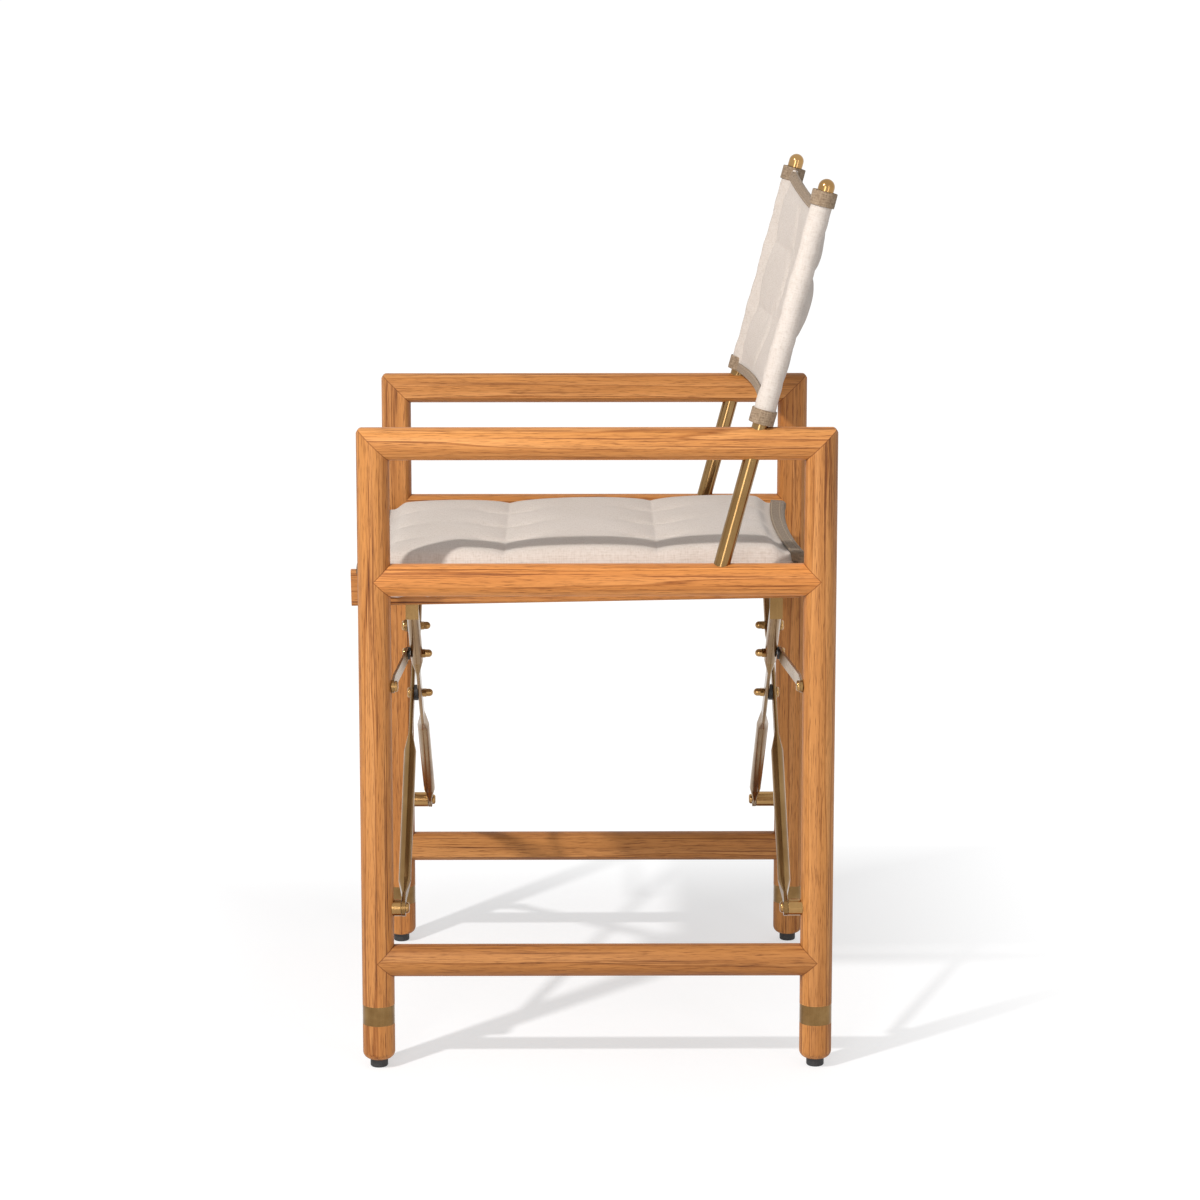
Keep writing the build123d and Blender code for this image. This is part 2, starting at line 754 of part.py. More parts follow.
def make_seat_sling():
    front = seat_front + seat_binding
    rear = seat_rear - seat_binding
    stops = (front, *seat_seams, rear)
    crests = {front: seat_binding_thickness, rear: seat_binding_thickness}
    for seam in seat_seams:
        crests[seam] = seat_channel
    for first, second in zip(stops, stops[1:]):
        crests[(first + second) / 2] = seat_crown
    shoulder = seat_crown - (seat_crown - seat_binding_thickness) * end_ease
    crests[(3 * front + stops[1]) / 4] = shoulder
    crests[(3 * rear + stops[-2]) / 4] = shoulder
    with BuildPart() as seat:
        loft([seat_section(x, crests[x]) for x in sorted(crests)])
        with BuildSketch(Plane((frame_mid_x, 0, seat_low))):
            with BuildLine():
                Line((front, -seat_half), (rear, -seat_half))
                ThreePointArc((rear, -seat_half), (rear - seat_draw, 0), (rear, seat_half))
                Line((rear, seat_half), (front, seat_half))
                ThreePointArc((front, seat_half), (front + seat_draw, 0), (front, -seat_half))
            make_face()
        extrude(amount=timber_d, both=True, mode=Mode.INTERSECT)
    return seat


def make_seat_bindings():
    with BuildPart() as bindings:
        with BuildSketch(Plane((frame_mid_x, 0, seat_low))):
            for direction, edge in ((1, seat_front), (-1, seat_rear)):
                inner = edge + direction * seat_binding
                draw = direction * seat_draw
                with BuildLine():
                    Line((edge, -seat_half), (inner, -seat_half))
                    ThreePointArc((inner, -seat_half), (inner + draw, 0), (inner, seat_half))
                    Line((inner, seat_half), (edge, seat_half))
                    ThreePointArc((edge, seat_half), (edge + draw, 0), (edge, -seat_half))
                make_face()
        extrude(amount=seat_binding_thickness)
    return bindings


# Back sling

def make_sleeve(side):
    with BuildPart() as sleeve:
        with BuildSketch(post_plane(side * half_width, sleeve_bottom)):
            Circle(sleeve_r)
            Circle(post_r + run_gap, mode=Mode.SUBTRACT)
        extrude(amount=sleeve_top - sleeve_bottom)
    return sleeve


def make_sleeve_bands(side):
    with BuildPart() as bands:
        for start in (sleeve_bottom, sleeve_top - band_tall):
            with BuildSketch(post_plane(side * half_width, start)):
                Circle(sleeve_r + band_wall)
                Circle(sleeve_r, mode=Mode.SUBTRACT)
            extrude(amount=band_tall)
    return bands


def back_section(distance, crest, seam, bow):
    """Section square to the posts: puffs in front and behind, on a line that gives to the rear."""
    with BuildSketch(post_plane(0, distance)) as section:
        with BuildLine():
            for face in (1, -1):
                for column in range(back_columns):
                    arc = []
                    for step in (0, 1, 2):
                        place = 2 * column + step
                        half = crest if step == 1 else seam
                        if place in (0, 2 * back_columns):
                            half = back_edge
                        across = place / back_columns - 1
                        arc.append((across * panel_half, face * half - bow * (1 - across**2)))
                    ThreePointArc(*arc)
            for side in SIDES.values():
                Line((side * panel_half, back_edge), (side * panel_half, -back_edge))
        make_face()
    return section.sketch


def back_plane():
    """Plane through both posts: local x runs to the right, local y along the posts from their feet."""
    foot = post_plane(0, 0)
    return Plane(origin=foot.origin, x_dir=(0, 1, 0), z_dir=(post_cos, 0, -post_sin))


def make_back_sling():
    low = sleeve_bottom + back_binding
    high = sleeve_top - back_binding
    steps = 2 * back_rows
    shoulder = back_puff - (back_puff - back_edge) * end_ease
    levels = {0: (back_edge + back_swell, back_edge), steps: (back_edge + back_swell, back_edge)}
    levels[0.5] = (shoulder, back_channel)
    levels[steps - 0.5] = (shoulder, back_channel)
    for step in range(1, steps):
        levels[step] = (back_puff if step % 2 else back_channel + back_swell, back_channel)
    sections = []
    for step in sorted(levels):
        bow = back_bow * sin(radians(180 * step / steps))
        sections.append(back_section(low + (high - low) * step / steps, *levels[step], bow))
    with BuildPart() as back:
        loft(sections)
        with BuildSketch(back_plane()):
            with BuildLine():
                Line((-panel_half, low), (-panel_half, high))
                ThreePointArc((-panel_half, high), (0, high - back_scoop_top), (panel_half, high))
                Line((panel_half, high), (panel_half, low))
                ThreePointArc((panel_half, low), (0, low + back_scoop_bottom), (-panel_half, low))
            make_face()
        extrude(amount=timber_d, both=True, mode=Mode.INTERSECT)
    return back


def make_back_bindings():
    with BuildPart() as bindings:
        with BuildSketch(back_plane()):
            for edge, turn, scoop in (
                (sleeve_top, -1, back_scoop_top),
                (sleeve_bottom, 1, back_scoop_bottom),
            ):
                inner = edge + turn * back_binding
                with BuildLine():
                    Line((-panel_half, edge), (-panel_half, inner))
                    ThreePointArc((-panel_half, inner), (0, inner + turn * scoop), (panel_half, inner))
                    Line((panel_half, inner), (panel_half, edge))
                    ThreePointArc((panel_half, edge), (0, edge + turn * scoop), (-panel_half, edge))
                make_face()
        extrude(amount=back_binding_thickness / 2, both=True)
    return bindings


# Write every piece

for side_name, side in SIDES.items():
    for end_name, end in ENDS.items():
        save(make_leg(side, end), f"{side_name}_{end_name}_leg")
        save(make_link(side, end), f"{side_name}_{end_name}_link")
    bar = "a" if side < 0 else "b"
    save(make_armrest(side), f"{side_name}_armrest")
    save(make_cross_rail(side, rail_height), f"{side_name}_seat_rail")
    save(make_cross_rail(side, stretcher_height), f"{side_name}_stretcher")
    save(make_dowels(side), f"{side_name}_joint_dowels")
    save(make_ferrules(side), f"{side_name}_leg_ferrules")
    save(make_feet(side), f"{side_name}_feet")
    save(make_foot_screws(side), f"{side_name}_foot_screws")
    save(make_post(side), f"{side_name}_back_post")
    save(make_finial(side), f"{side_name}_post_finial")
    save(make_barrels(side, barrel_a if side < 0 else barrel_b), f"{side_name}_pivot_barrels")
    save(make_pivot_screws(side, bar), f"{side_name}_pivot_screws")
    save(make_link_screws(side), f"{side_name}_link_screws")
    save(make_link_washers(side), f"{side_name}_link_washers")
    save(make_link_heads(side), f"{side_name}_link_bolt_heads")
    save(make_link_nuts(side), f"{side_name}_link_acorn_nuts")
    save(make_batten(side), f"{side_name}_seat_batten", seat_slope)
    save(make_tab_screws(side), f"{side_name}_batten_screws", seat_slope)
    save(make_hem(side), f"{side_name}_seat_hem", seat_slope)
    save(make_sleeve(side), f"{side_name}_back_sleeve")
    save(make_sleeve_bands(side), f"{side_name}_sleeve_bands")

for end_name, end in ENDS.items():
    save(make_bar("a", end), f"{end_name}_brace_bar_a")
    save(make_bar("b", end), f"{end_name}_brace_bar_b")

save(make_cross_bolts(), "crossing_bolts")
save(make_cross_spacers(), "crossing_spacers")
save(make_cross_nuts(), "crossing_acorn_nuts")
save(make_seat_sling(), "seat_sling", seat_slope)
save(make_seat_bindings(), "seat_bindings", seat_slope)
save(make_back_sling(), "back_sling")
save(make_back_bindings(), "back_bindings")
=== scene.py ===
# %% [markdown]
# A folding director's chair: two side frames of round teak, crossed brass braces, and a seat and a back
# of quilted linen. The hard pieces come ready from the CAD frame and only need their finishes here.
# The soft pieces are made new, because a sewn and stuffed cloth can't be drawn well as a solid.

# %% Load the CAD frame
from math import acos, cos, pi, radians, sin

import bpy
import numpy as np
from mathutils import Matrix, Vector


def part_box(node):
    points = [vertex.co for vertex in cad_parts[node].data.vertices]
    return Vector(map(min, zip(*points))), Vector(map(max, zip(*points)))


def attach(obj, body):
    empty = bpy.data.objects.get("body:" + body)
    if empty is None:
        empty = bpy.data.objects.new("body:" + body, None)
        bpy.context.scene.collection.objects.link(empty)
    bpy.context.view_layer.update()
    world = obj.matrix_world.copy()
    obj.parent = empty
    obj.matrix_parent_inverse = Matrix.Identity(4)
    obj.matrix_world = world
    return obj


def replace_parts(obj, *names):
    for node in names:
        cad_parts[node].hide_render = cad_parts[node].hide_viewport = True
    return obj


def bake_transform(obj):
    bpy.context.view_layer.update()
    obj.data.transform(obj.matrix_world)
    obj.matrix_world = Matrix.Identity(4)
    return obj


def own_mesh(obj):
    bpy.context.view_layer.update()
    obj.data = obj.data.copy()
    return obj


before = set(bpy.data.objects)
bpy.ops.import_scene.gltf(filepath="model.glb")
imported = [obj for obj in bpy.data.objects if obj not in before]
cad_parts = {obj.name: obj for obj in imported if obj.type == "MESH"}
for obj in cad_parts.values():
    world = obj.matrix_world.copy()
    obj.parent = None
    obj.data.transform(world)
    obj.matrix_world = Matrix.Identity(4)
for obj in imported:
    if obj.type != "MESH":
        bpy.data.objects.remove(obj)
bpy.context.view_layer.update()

scene = bpy.context.scene
scene.view_settings.view_transform = "Standard"

# %% [markdown]
# The camera stands 3.6 m away at the chair's left side, a little over one metre up, and looks down by ten
# degrees. A long lens that far away keeps the near and the far frame almost the same size, as a product
# photograph does. The place and the lens were worked out from the edges of the timbers in the photograph.

# %% Camera
look_down, look_right = 10.066, 0.421
camera_data = bpy.data.cameras.new("camera")
camera_data.sensor_width = 36.0
camera_data.lens = 106.663
camera = bpy.data.objects.new("camera", camera_data)
camera.location = (-0.01729, -3.6406, 1.07547)
camera.rotation_euler = (radians(90 - look_down), 0, radians(-look_right))
scene.collection.objects.link(camera)
scene.camera = camera
print("camera", [round(value, 3) for value in camera.location], "lens", camera_data.lens)

# %% [markdown]
# The studio and the finishes are built from nodes. A few small helpers keep them readable: they add a node with
# its settings, do one step of arithmetic, make a colour ramp and mix two colours. Each takes a number or another
# node's output alike. Constant numbers go straight on the shader's own sockets.


# %% Node helpers
def put(tree, socket, value):
    """Links a socket to another node's output, or sets its constant."""
    if isinstance(value, bpy.types.NodeSocket):
        tree.links.new(value, socket)
    else:
        socket.default_value = value


def add_node(tree, kind, settings=None, **values):
    """A node with its settings and its input values; an input is named with _ for a space."""
    node = tree.nodes.new("ShaderNode" + kind)
    for setting, value in (settings or {}).items():
        setattr(node, setting, value)
    for socket, value in values.items():
        put(tree, node.inputs[socket.replace("_", " ")], value)
    return node


def worked(tree, way, first, second=0.0):
    """The result of one step of arithmetic on two numbers."""
    node = add_node(tree, "Math", {"operation": way})
    put(tree, node.inputs[0], first)
    put(tree, node.inputs[1], second)
    return node.outputs[0]


def ramp(tree, factor, *stops):
    """A colour ramp: each stop is a place from 0 to 1 and a colour."""
    node = add_node(tree, "ValToRGB")
    while len(node.color_ramp.elements) < len(stops):
        node.color_ramp.elements.new(0.5)
    for element, (place, colour) in zip(node.color_ramp.elements, stops):
        element.position = place
        element.color = (*colour, 1)
    put(tree, node.inputs[0], factor)
    return node.outputs["Color"]


def mixed(tree, way, factor, first, second):
    """Two colours mixed by a blending way, such as MIX or MULTIPLY."""
    node = add_node(tree, "Mix", {"data_type": "RGBA", "blend_type": way})
    # A Mix node keeps its two colours in inputs 6 and 7, and the mixed colour in output 2.
    for number, value in ((0, factor), (6, first), (7, second)):
        put(tree, node.inputs[number], value)
    return node.outputs[2]


def mixed_shaders(tree, factor, first, second):
    """Two shaders mixed by a factor from 0 to 1."""
    node = add_node(tree, "MixShader")
    for socket, value in zip(node.inputs, (factor, first.outputs[0], second.outputs[0])):
        put(tree, socket, value)
    return node


# %% [markdown]
# The studio is a white floor without an end, a small hard key lamp at the front left, two tall strip lamps beside
# the camera, and a dim white sky. The floor and the sky are white to the camera and in reflections, but they
# light the chair only at their own dim level, so the colours of the chair stay as they are written.


# %% Light Path helper
def shows_backdrop(tree):
    """A number that is 1 for rays from the camera, in reflections and through glass, and 0 for light."""
    path = add_node(tree, "LightPath")
    share = path.outputs["Is Camera Ray"]
    for ray in ("Is Glossy Ray", "Is Transmission Ray"):
        share = worked(tree, "MAXIMUM", share, path.outputs[ray])
    return share


# %% Sky
sky_light = 0.40
world = bpy.data.worlds.new("studio")
world.use_nodes = True
scene.world = world
tree = world.node_tree
background = tree.nodes["Background"]
background.inputs["Color"].default_value = (1, 1, 1, 1)
strength = add_node(tree, "MapRange", Value=shows_backdrop(tree), To_Min=sky_light, To_Max=1.0)
tree.links.new(strength.outputs[0], background.inputs["Strength"])
print("sky", sky_light)

# %% [markdown]
# The floor is one very large plane. Where the camera looks, it is matt paper that takes the chair's shadows, mixed
# with a white glow. The glow's share is smallest round the feet and grows on all four sides of them, so
# the shadows fade out and the paper meets the white sky without a line.

# %% Floor
glow_strength = 1.22
glow_beside, glow_beyond = 0.40, 0.80
glow_grows = (("X", 0.08, 0.66), ("Y", 0.32, 0.80), ("X", -0.32, -0.70), ("Y", -0.40, -0.75))

bpy.ops.object.select_all(action="DESELECT")
bpy.ops.mesh.primitive_plane_add(size=400, location=(0, 0, 0))
floor = bpy.context.active_object
floor.name = "floor"
white_floor = bpy.data.materials.new("white_floor")
white_floor.use_nodes = True
tree = white_floor.node_tree
tree.nodes.clear()
bouncing = add_node(tree, "BsdfDiffuse", Color=(0.8, 0.8, 0.8, 1))
paper = add_node(tree, "BsdfDiffuse", Color=(0.95, 0.955, 0.975, 1))
glow = add_node(tree, "Emission", Color=(1, 1, 1, 1), Strength=glow_strength)
apart = add_node(tree, "SeparateXYZ", Vector=add_node(tree, "TexCoord").outputs["Object"])
glow_share = glow_beside
for axis, first, last in glow_grows:
    grown = add_node(tree, "MapRange", {"interpolation_type": "SMOOTHSTEP"}, Value=apart.outputs[axis],
                     From_Min=first, From_Max=last, To_Min=glow_beside, To_Max=glow_beyond)
    glow_share = worked(tree, "MAXIMUM", glow_share, grown.outputs[0])
seen = mixed_shaders(tree, glow_share, paper, glow)
whole = mixed_shaders(tree, shows_backdrop(tree), bouncing, seen)
add_node(tree, "OutputMaterial", Surface=whole.outputs[0])
floor.data.materials.append(white_floor)
print("floor with", len(glow_grows), "fades")

# %% [markdown]
# The key lamp is small, so the shadows of the bars on the floor have clear edges. The strips are twice as tall
# as the chair, because an upright rod mirrors a narrow slice of the studio: a tall lamp draws a bright line
# along the whole rod, where a small one would only make a dot.


# %% Lamps
def add_lamp(name, place, aim, watts, shape, width, tall, colour=(1, 1, 1)):
    """An area lamp that faces a point."""
    lamp_data = bpy.data.lights.new(name, "AREA")
    lamp_data.shape = shape
    lamp_data.size, lamp_data.size_y = width, tall
    lamp_data.energy = watts
    lamp_data.color = colour
    lamp = bpy.data.objects.new(name, lamp_data)
    lamp.location = place
    lamp.rotation_mode = "QUATERNION"
    lamp.rotation_quaternion = (Vector(aim) - Vector(place)).to_track_quat("-Z", "Y")
    scene.collection.objects.link(lamp)
    print("lamp", name, watts, "W")


key_aim, key_wide, key_colour = (0, 0, 0.5), 0.16, (1.0, 0.985, 0.96)
strip_tall, strip_height = 1.9, 1.0
strip_aim = (0, 0, strip_height)
add_lamp("key", (-1.65, -1.97, 2.65), key_aim, 81, "DISK", key_wide, key_wide, key_colour)
add_lamp("fill", (-0.9, -3.6, strip_height), strip_aim, 27, "RECTANGLE", 0.9, strip_tall)
add_lamp("side", (1.7, -2.9, strip_height), strip_aim, 9, "RECTANGLE", 0.5, strip_tall)

# %% [markdown]
# Teak is honey brown with darker growth rings and fine pores that run along the board. Each timber is cut from
# its own board, so each gets its own copy of the finish: the rings are wide cylinders about a tilted line beside
# the timber, which draws long pointed figures where the surface cuts them. The tilt and the place differ for each.
# The joints show as thin dark lines: a mitre at each end of an armrest, and a pointed cope where a rail meets
# a leg.

# %% Joint lines
frame_middle_x, frame_half_depth = 0.005, 0.233
arm_top, mitre_reach = 0.640, 0.033
rail_heights = (0.4905, 0.1085)
timber_half, cope_from_y = 0.016, 0.2225
line_dark, line_clear = 0.0002, 0.0009


def joint_lines(tree, object_place):
    """A colour that is dark in the thin gaps where the timbers of a side frame meet, and white elsewhere."""
    def step(way, first, second=0.0):
        return worked(tree, way, first, second)

    apart = add_node(tree, "SeparateXYZ", Vector=object_place)
    height = apart.outputs["Z"]
    off_middle = step("ABSOLUTE", step("SUBTRACT", apart.outputs["X"], frame_middle_x))
    inward = step("SUBTRACT", frame_half_depth, off_middle)
    mitre = step("ABSOLUTE", step("SUBTRACT", step("ADD", inward, height), arm_top))
    gap = step("MAXIMUM", mitre, step("SUBTRACT", inward, mitre_reach))
    inner_side = step("SUBTRACT", cope_from_y, step("ABSOLUTE", apart.outputs["Y"]))
    for level in rail_heights:
        beside = step("ABSOLUTE", step("SUBTRACT", height, level))
        cope = step("ABSOLUTE", step("SUBTRACT", step("SUBTRACT", inward, timber_half), beside))
        cope = step("MAXIMUM", cope, step("SUBTRACT", beside, timber_half))
        gap = step("MINIMUM", gap, step("MAXIMUM", cope, inner_side))
    line = add_node(tree, "MapRange", Value=gap, From_Min=line_dark, From_Max=line_clear).outputs[0]
    return ramp(tree, line, (0.0, (0.52, 0.43, 0.36)), (1.0, (1, 1, 1)))


# %% Teak finish
board_draw = np.random.default_rng(7)
teak_colour = np.array([0.590, 0.237, 0.060])
early_wood, late_wood = np.array([1.12, 1.20, 1.40]), np.array([0.62, 0.52, 0.42])


def new_finish(name):
    """An empty material with its shader, ready for nodes."""
    finish = bpy.data.materials.new(name)
    finish.use_nodes = True
    return finish, finish.node_tree, finish.node_tree.nodes["Principled BSDF"]


def grain(tree, along, length, shift, scale, detail, roughness=0.5):
    """A noise drawn out along the timber: the smaller the length, the longer its marks."""
    place = add_node(tree, "Mapping", Vector=along, Scale=(1, 1, length), Location=tuple(shift)).outputs[0]
    return add_node(tree, "TexNoise", Vector=place, Scale=scale, Detail=detail, Roughness=roughness).outputs["Fac"]


def growth_rings(tree, along, shift, tilt):
    """Rings round a tilted line beside the timber, as a number that climbs from 0 to 1 through each ring."""
    aside = (0.07 + 0.03 * shift[0], 0.05 * shift[1], shift[2])
    heart = add_node(tree, "Mapping", Vector=along, Rotation=(tilt[0], tilt[1], 0), Scale=(1, 1, 0.05),
                     Location=aside).outputs[0]
    return add_node(tree, "TexWave", {"wave_type": "RINGS", "rings_direction": "Z", "wave_profile": "SAW"},
                    Vector=heart, Scale=30.0, Distortion=7.0, Detail=2.0, Detail_Scale=1.4).outputs["Fac"]


def teak(name, lies_along_x, tone, joined):
    """Teak for one timber, with the grain along its length; tone scales the colour, 1 for a middling board. The
    tones given below also carry painted shade and painted light.
    """
    finish, tree, shader = new_finish(name)
    object_place = add_node(tree, "TexCoord").outputs["Object"]
    turn = (0, radians(90), 0) if lies_along_x else (0, 0, 0)
    along = add_node(tree, "Mapping", Vector=object_place, Rotation=turn).outputs[0]
    shift = board_draw.uniform(-1, 1, 3)
    tilt = board_draw.uniform(-0.045, 0.045, 2)
    rings = growth_rings(tree, along, shift, tilt)
    streaks = grain(tree, along, length=0.035, shift=shift, scale=190.0, detail=4.0, roughness=0.6)
    broad = grain(tree, along, length=0.035, shift=shift, scale=32.0, detail=2.0)
    pores = grain(tree, along, length=0.04, shift=(0, 0, 0), scale=1300.0, detail=2.0, roughness=0.7)
    hairs = grain(tree, along, length=0.012, shift=3 * shift, scale=330.0, detail=3.0, roughness=0.7)
    # The tone scales the board's colour. Besides the board's own tone, it holds painted shade on the low timbers
    # and painted light on the near seat rail.
    board = tone * teak_colour
    pale, late = early_wood * board, late_wood * board
    colour = ramp(tree, rings, (0.0, pale), (0.45, board), (0.88, board), (0.955, late), (1.0, pale))
    marks = (
        (0.9, streaks, (0.30, (0.74, 0.68, 0.62)), (0.44, (0.96, 0.95, 0.94)), (0.72, (1.06, 1.07, 1.08))),
        (1.0, broad, (0.32, (0.82, 0.75, 0.67)), (0.68, (1.12, 1.16, 1.22))),
        (0.95, pores, (0.30, (0.42, 0.34, 0.28)), (0.46, (1, 1, 1)), (0.72, (1.12, 1.15, 1.20))),
        (0.9, hairs, (0.35, (0.40, 0.30, 0.23)), (0.42, (1, 1, 1))),
    )
    for weight, noise, *stops in marks:
        colour = mixed(tree, "MULTIPLY", weight, colour, ramp(tree, noise, *stops))
    if joined:
        colour = mixed(tree, "MULTIPLY", 1.0, colour, joint_lines(tree, object_place))
    put(tree, shader.inputs["Base Color"], colour)
    shader.inputs["Specular IOR Level"].default_value = 0.3
    dull = add_node(tree, "MapRange", Value=streaks, To_Min=0.42, To_Max=0.58)
    put(tree, shader.inputs["Roughness"], dull.outputs[0])
    bump = add_node(tree, "Bump", Strength=0.16, Distance=0.0004, Height=worked(tree, "ADD", pores, streaks))
    put(tree, shader.inputs["Normal"], bump.outputs[0])
    return finish


# %% Teak timbers
def dress(node, finish):
    """Gives a CAD node its finish."""
    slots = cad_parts[node].data.materials
    slots.clear()
    slots.append(finish)


# Each timber: whether it lies along X, and its tone in the left and in the right frame. The tones are partly each
# board's own colour and partly painted shade and light: the stretchers and legs are darker as painted shade low
# down, and the near frame's seat rail is lighter as painted light on its lit top.
timbers = {"front_leg": (False, 0.86, 0.86), "rear_leg": (False, 0.83, 0.86), "armrest": (True, 0.97, 0.86),
           "seat_rail": (True, 1.20, 0.9), "stretcher": (True, 0.76, 0.74), "joint_dowels": (False, 0.9, 0.9),
           "seat_batten": (True, 0.84, 0.86)}
for number, side in enumerate(("left", "right")):
    for timber, (lies_along_x, *tones_with_shade) in timbers.items():
        joined = timber not in ("joint_dowels", "seat_batten")
        dress(f"{side}_{timber}", teak(f"teak_{side}_{timber}", lies_along_x, tones_with_shade[number], joined))
print("teak timbers", 2 * len(timbers))

# %% [markdown]
# The metal is satin brass that has been handled: a warm yellow with browner patches and fine drawing lines along
# the rods. The lines are a noise stretched along one direction, so the posts, the bars, the links, the ferrules
# and the turned parts each have a finish of their own. The turned parts are the brightest and the flat links
# the dullest.

# %% Brass finish
brass_colours = ((0.32, (0.46, 0.262, 0.098)), (0.52, (0.54, 0.318, 0.124)), (0.70, (0.62, 0.378, 0.156)))


def brass(name, stretch, tone, patch_size=0.045, dulled=0.0):
    """Aged satin brass with fine lines along the direction that stretch shortens."""
    finish, tree, shader = new_finish(name)
    object_place = add_node(tree, "TexCoord").outputs["Object"]
    patches = add_node(tree, "TexNoise", Vector=object_place, Scale=1 / patch_size,
                       Detail=4.0, Roughness=0.55).outputs["Fac"]
    line_place = add_node(tree, "Mapping", Vector=object_place, Scale=stretch).outputs[0]
    lines = add_node(tree, "TexNoise", Vector=line_place, Scale=1800.0, Detail=2.0).outputs["Fac"]
    patina = ramp(tree, patches, *((place, [tone * part for part in colour]) for place, colour in brass_colours))
    rubbed = ramp(tree, lines, (0.3, (0.88, 0.87, 0.86)), (0.7, (1.06, 1.06, 1.05)))
    put(tree, shader.inputs["Base Color"], mixed(tree, "MULTIPLY", 0.8, patina, rubbed))
    shader.inputs["Metallic"].default_value = 1.0
    dull = add_node(tree, "MapRange", Value=patches, From_Min=0.3, From_Max=0.7,
                    To_Min=0.22 + dulled, To_Max=0.13 + dulled)
    put(tree, shader.inputs["Roughness"], dull.outputs[0])
    bump = add_node(tree, "Bump", Strength=0.06, Distance=0.0002, Height=lines)
    put(tree, shader.inputs["Normal"], bump.outputs[0])
    return finish


# %% Brass pieces
brass_rod = brass("brass_rod", (1, 1, 0.02), 0.50)
brass_flat = brass("brass_flat", (1, 0.03, 1), 0.55, dulled=0.1)
brass_turned = brass("brass_turned", (1, 1, 1), 0.76)
brass_ring = brass("brass_ring", (1, 1, 0.02), 0.46, patch_size=0.012)
brass_bar = brass("brass_bar", (1, 0.05, 0.05), 0.50, dulled=0.03)
turned_pieces = ("post_finial", "pivot_barrels", "pivot_screws", "link_screws", "link_bolt_heads",
                 "link_acorn_nuts", "batten_screws", "foot_screws")
for side in ("left", "right"):
    dress(f"{side}_back_post", brass_rod)
    dress(f"{side}_leg_ferrules", brass_ring)
    for piece in turned_pieces:
        dress(f"{side}_{piece}", brass_turned)
    for end in ("front", "rear"):
        dress(f"{side}_{end}_link", brass_flat)
for end in ("front", "rear"):
    for bar in ("a", "b"):
        dress(f"{end}_brace_bar_{bar}", brass_bar)
dress("crossing_bolts", brass_turned)
dress("crossing_acorn_nuts", brass_turned)
print("turned brass pieces", 2 * len(turned_pieces) + 2)

# %% [markdown]
# The feet are black rubber and the spacers between the bars black nylon. Rubber is dull and slightly grainy with
# dust on it; nylon is smoother. Both are a dark colour broken up by a fine noise in tone, gloss and bump.


# %% Black finishes
def black(name, colour, roughness, speck_scale):
    """A dark moulded finish with fine specks."""
    finish, tree, shader = new_finish(name)
    object_place = add_node(tree, "TexCoord").outputs["Object"]
    specks = add_node(tree, "TexNoise", Vector=object_place, Scale=speck_scale, Detail=4.0).outputs["Fac"]
    dusty = tuple(2.6 * part for part in colour)
    put(tree, shader.inputs["Base Color"], ramp(tree, specks, (0.35, colour), (0.75, dusty)))
    dull = add_node(tree, "MapRange", Value=specks, To_Min=roughness - 0.1, To_Max=roughness + 0.12)
    put(tree, shader.inputs["Roughness"], dull.outputs[0])
    bump = add_node(tree, "Bump", Strength=0.3, Distance=0.0002, Height=specks)
    put(tree, shader.inputs["Normal"], bump.outputs[0])
    return finish


rubber = black("black_rubber", (0.018, 0.017, 0.017), 0.62, 900.0)
nylon = black("black_nylon", (0.014, 0.014, 0.015), 0.42, 400.0)
for side in ("left", "right"):
    dress(f"{side}_feet", rubber)
    dress(f"{side}_link_washers", nylon)
dress("crossing_spacers", nylon)
print("black finishes", rubber.name, nylon.name)

# %% [markdown]
# The cloth is a plain weave of unbleached linen. Its threads vary in thickness, which shows as fine streaks both
# ways. The pattern reads a UV map laid out in metres, so the threads keep their size over every puff and roll.
# The tape that binds the edges is the same kind of weave in a grey brown, with a deeper relief.


# %% Cloth finishes
def woven(name, light, shade, dark, pitch, relief):
    """A plain weave with uneven threads, on the piece's own UV map in metres."""
    finish, tree, shader = new_finish(name)
    place = add_node(tree, "UVMap", {"uv_map": "cloth"}).outputs[0]
    # A wave texture of scale 1 has 20 / (2 * pi) bands in a metre.
    bands = 2 * pi / (20 * pitch)
    warp, weft = (add_node(tree, "TexWave", {"bands_direction": way}, Vector=place, Scale=bands, Distortion=1.2,
                           Detail=2.0, Detail_Scale=0.6).outputs["Fac"] for way in ("X", "Y"))
    weave = worked(tree, "MULTIPLY", warp, weft)
    slubs = []
    for stretch in ((0.22, 1, 1), (1, 0.22, 1)):
        along = add_node(tree, "Mapping", Vector=place, Scale=stretch).outputs[0]
        slubs.append(add_node(tree, "TexNoise", Vector=along, Scale=760.0, Detail=2.0).outputs["Fac"])
    uneven = worked(tree, "MULTIPLY", worked(tree, "ADD", *slubs), 0.5)
    soil = add_node(tree, "TexNoise", Vector=place, Scale=9.0, Detail=3.0).outputs["Fac"]
    colour = ramp(tree, uneven, (0.36, dark), (0.48, shade), (0.60, light))
    gaps = ramp(tree, weave, (0.0, (0.88, 0.87, 0.86)), (0.35, (1, 1, 1)))
    faded = ramp(tree, soil, (0.35, (0.95, 0.945, 0.935)), (0.65, (1, 1, 1)))
    colour = mixed(tree, "MULTIPLY", 0.8, colour, gaps)
    put(tree, shader.inputs["Base Color"], mixed(tree, "MULTIPLY", 1.0, colour, faded))
    shader.inputs["Roughness"].default_value = 0.88
    shader.inputs["Sheen Weight"].default_value = 0.15
    shader.inputs["Sheen Roughness"].default_value = 0.45
    shader.inputs["Specular IOR Level"].default_value = 0.25
    bump = add_node(tree, "Bump", Strength=relief, Distance=0.0004, Height=worked(tree, "ADD", weave, uneven))
    put(tree, shader.inputs["Normal"], bump.outputs[0])
    return finish


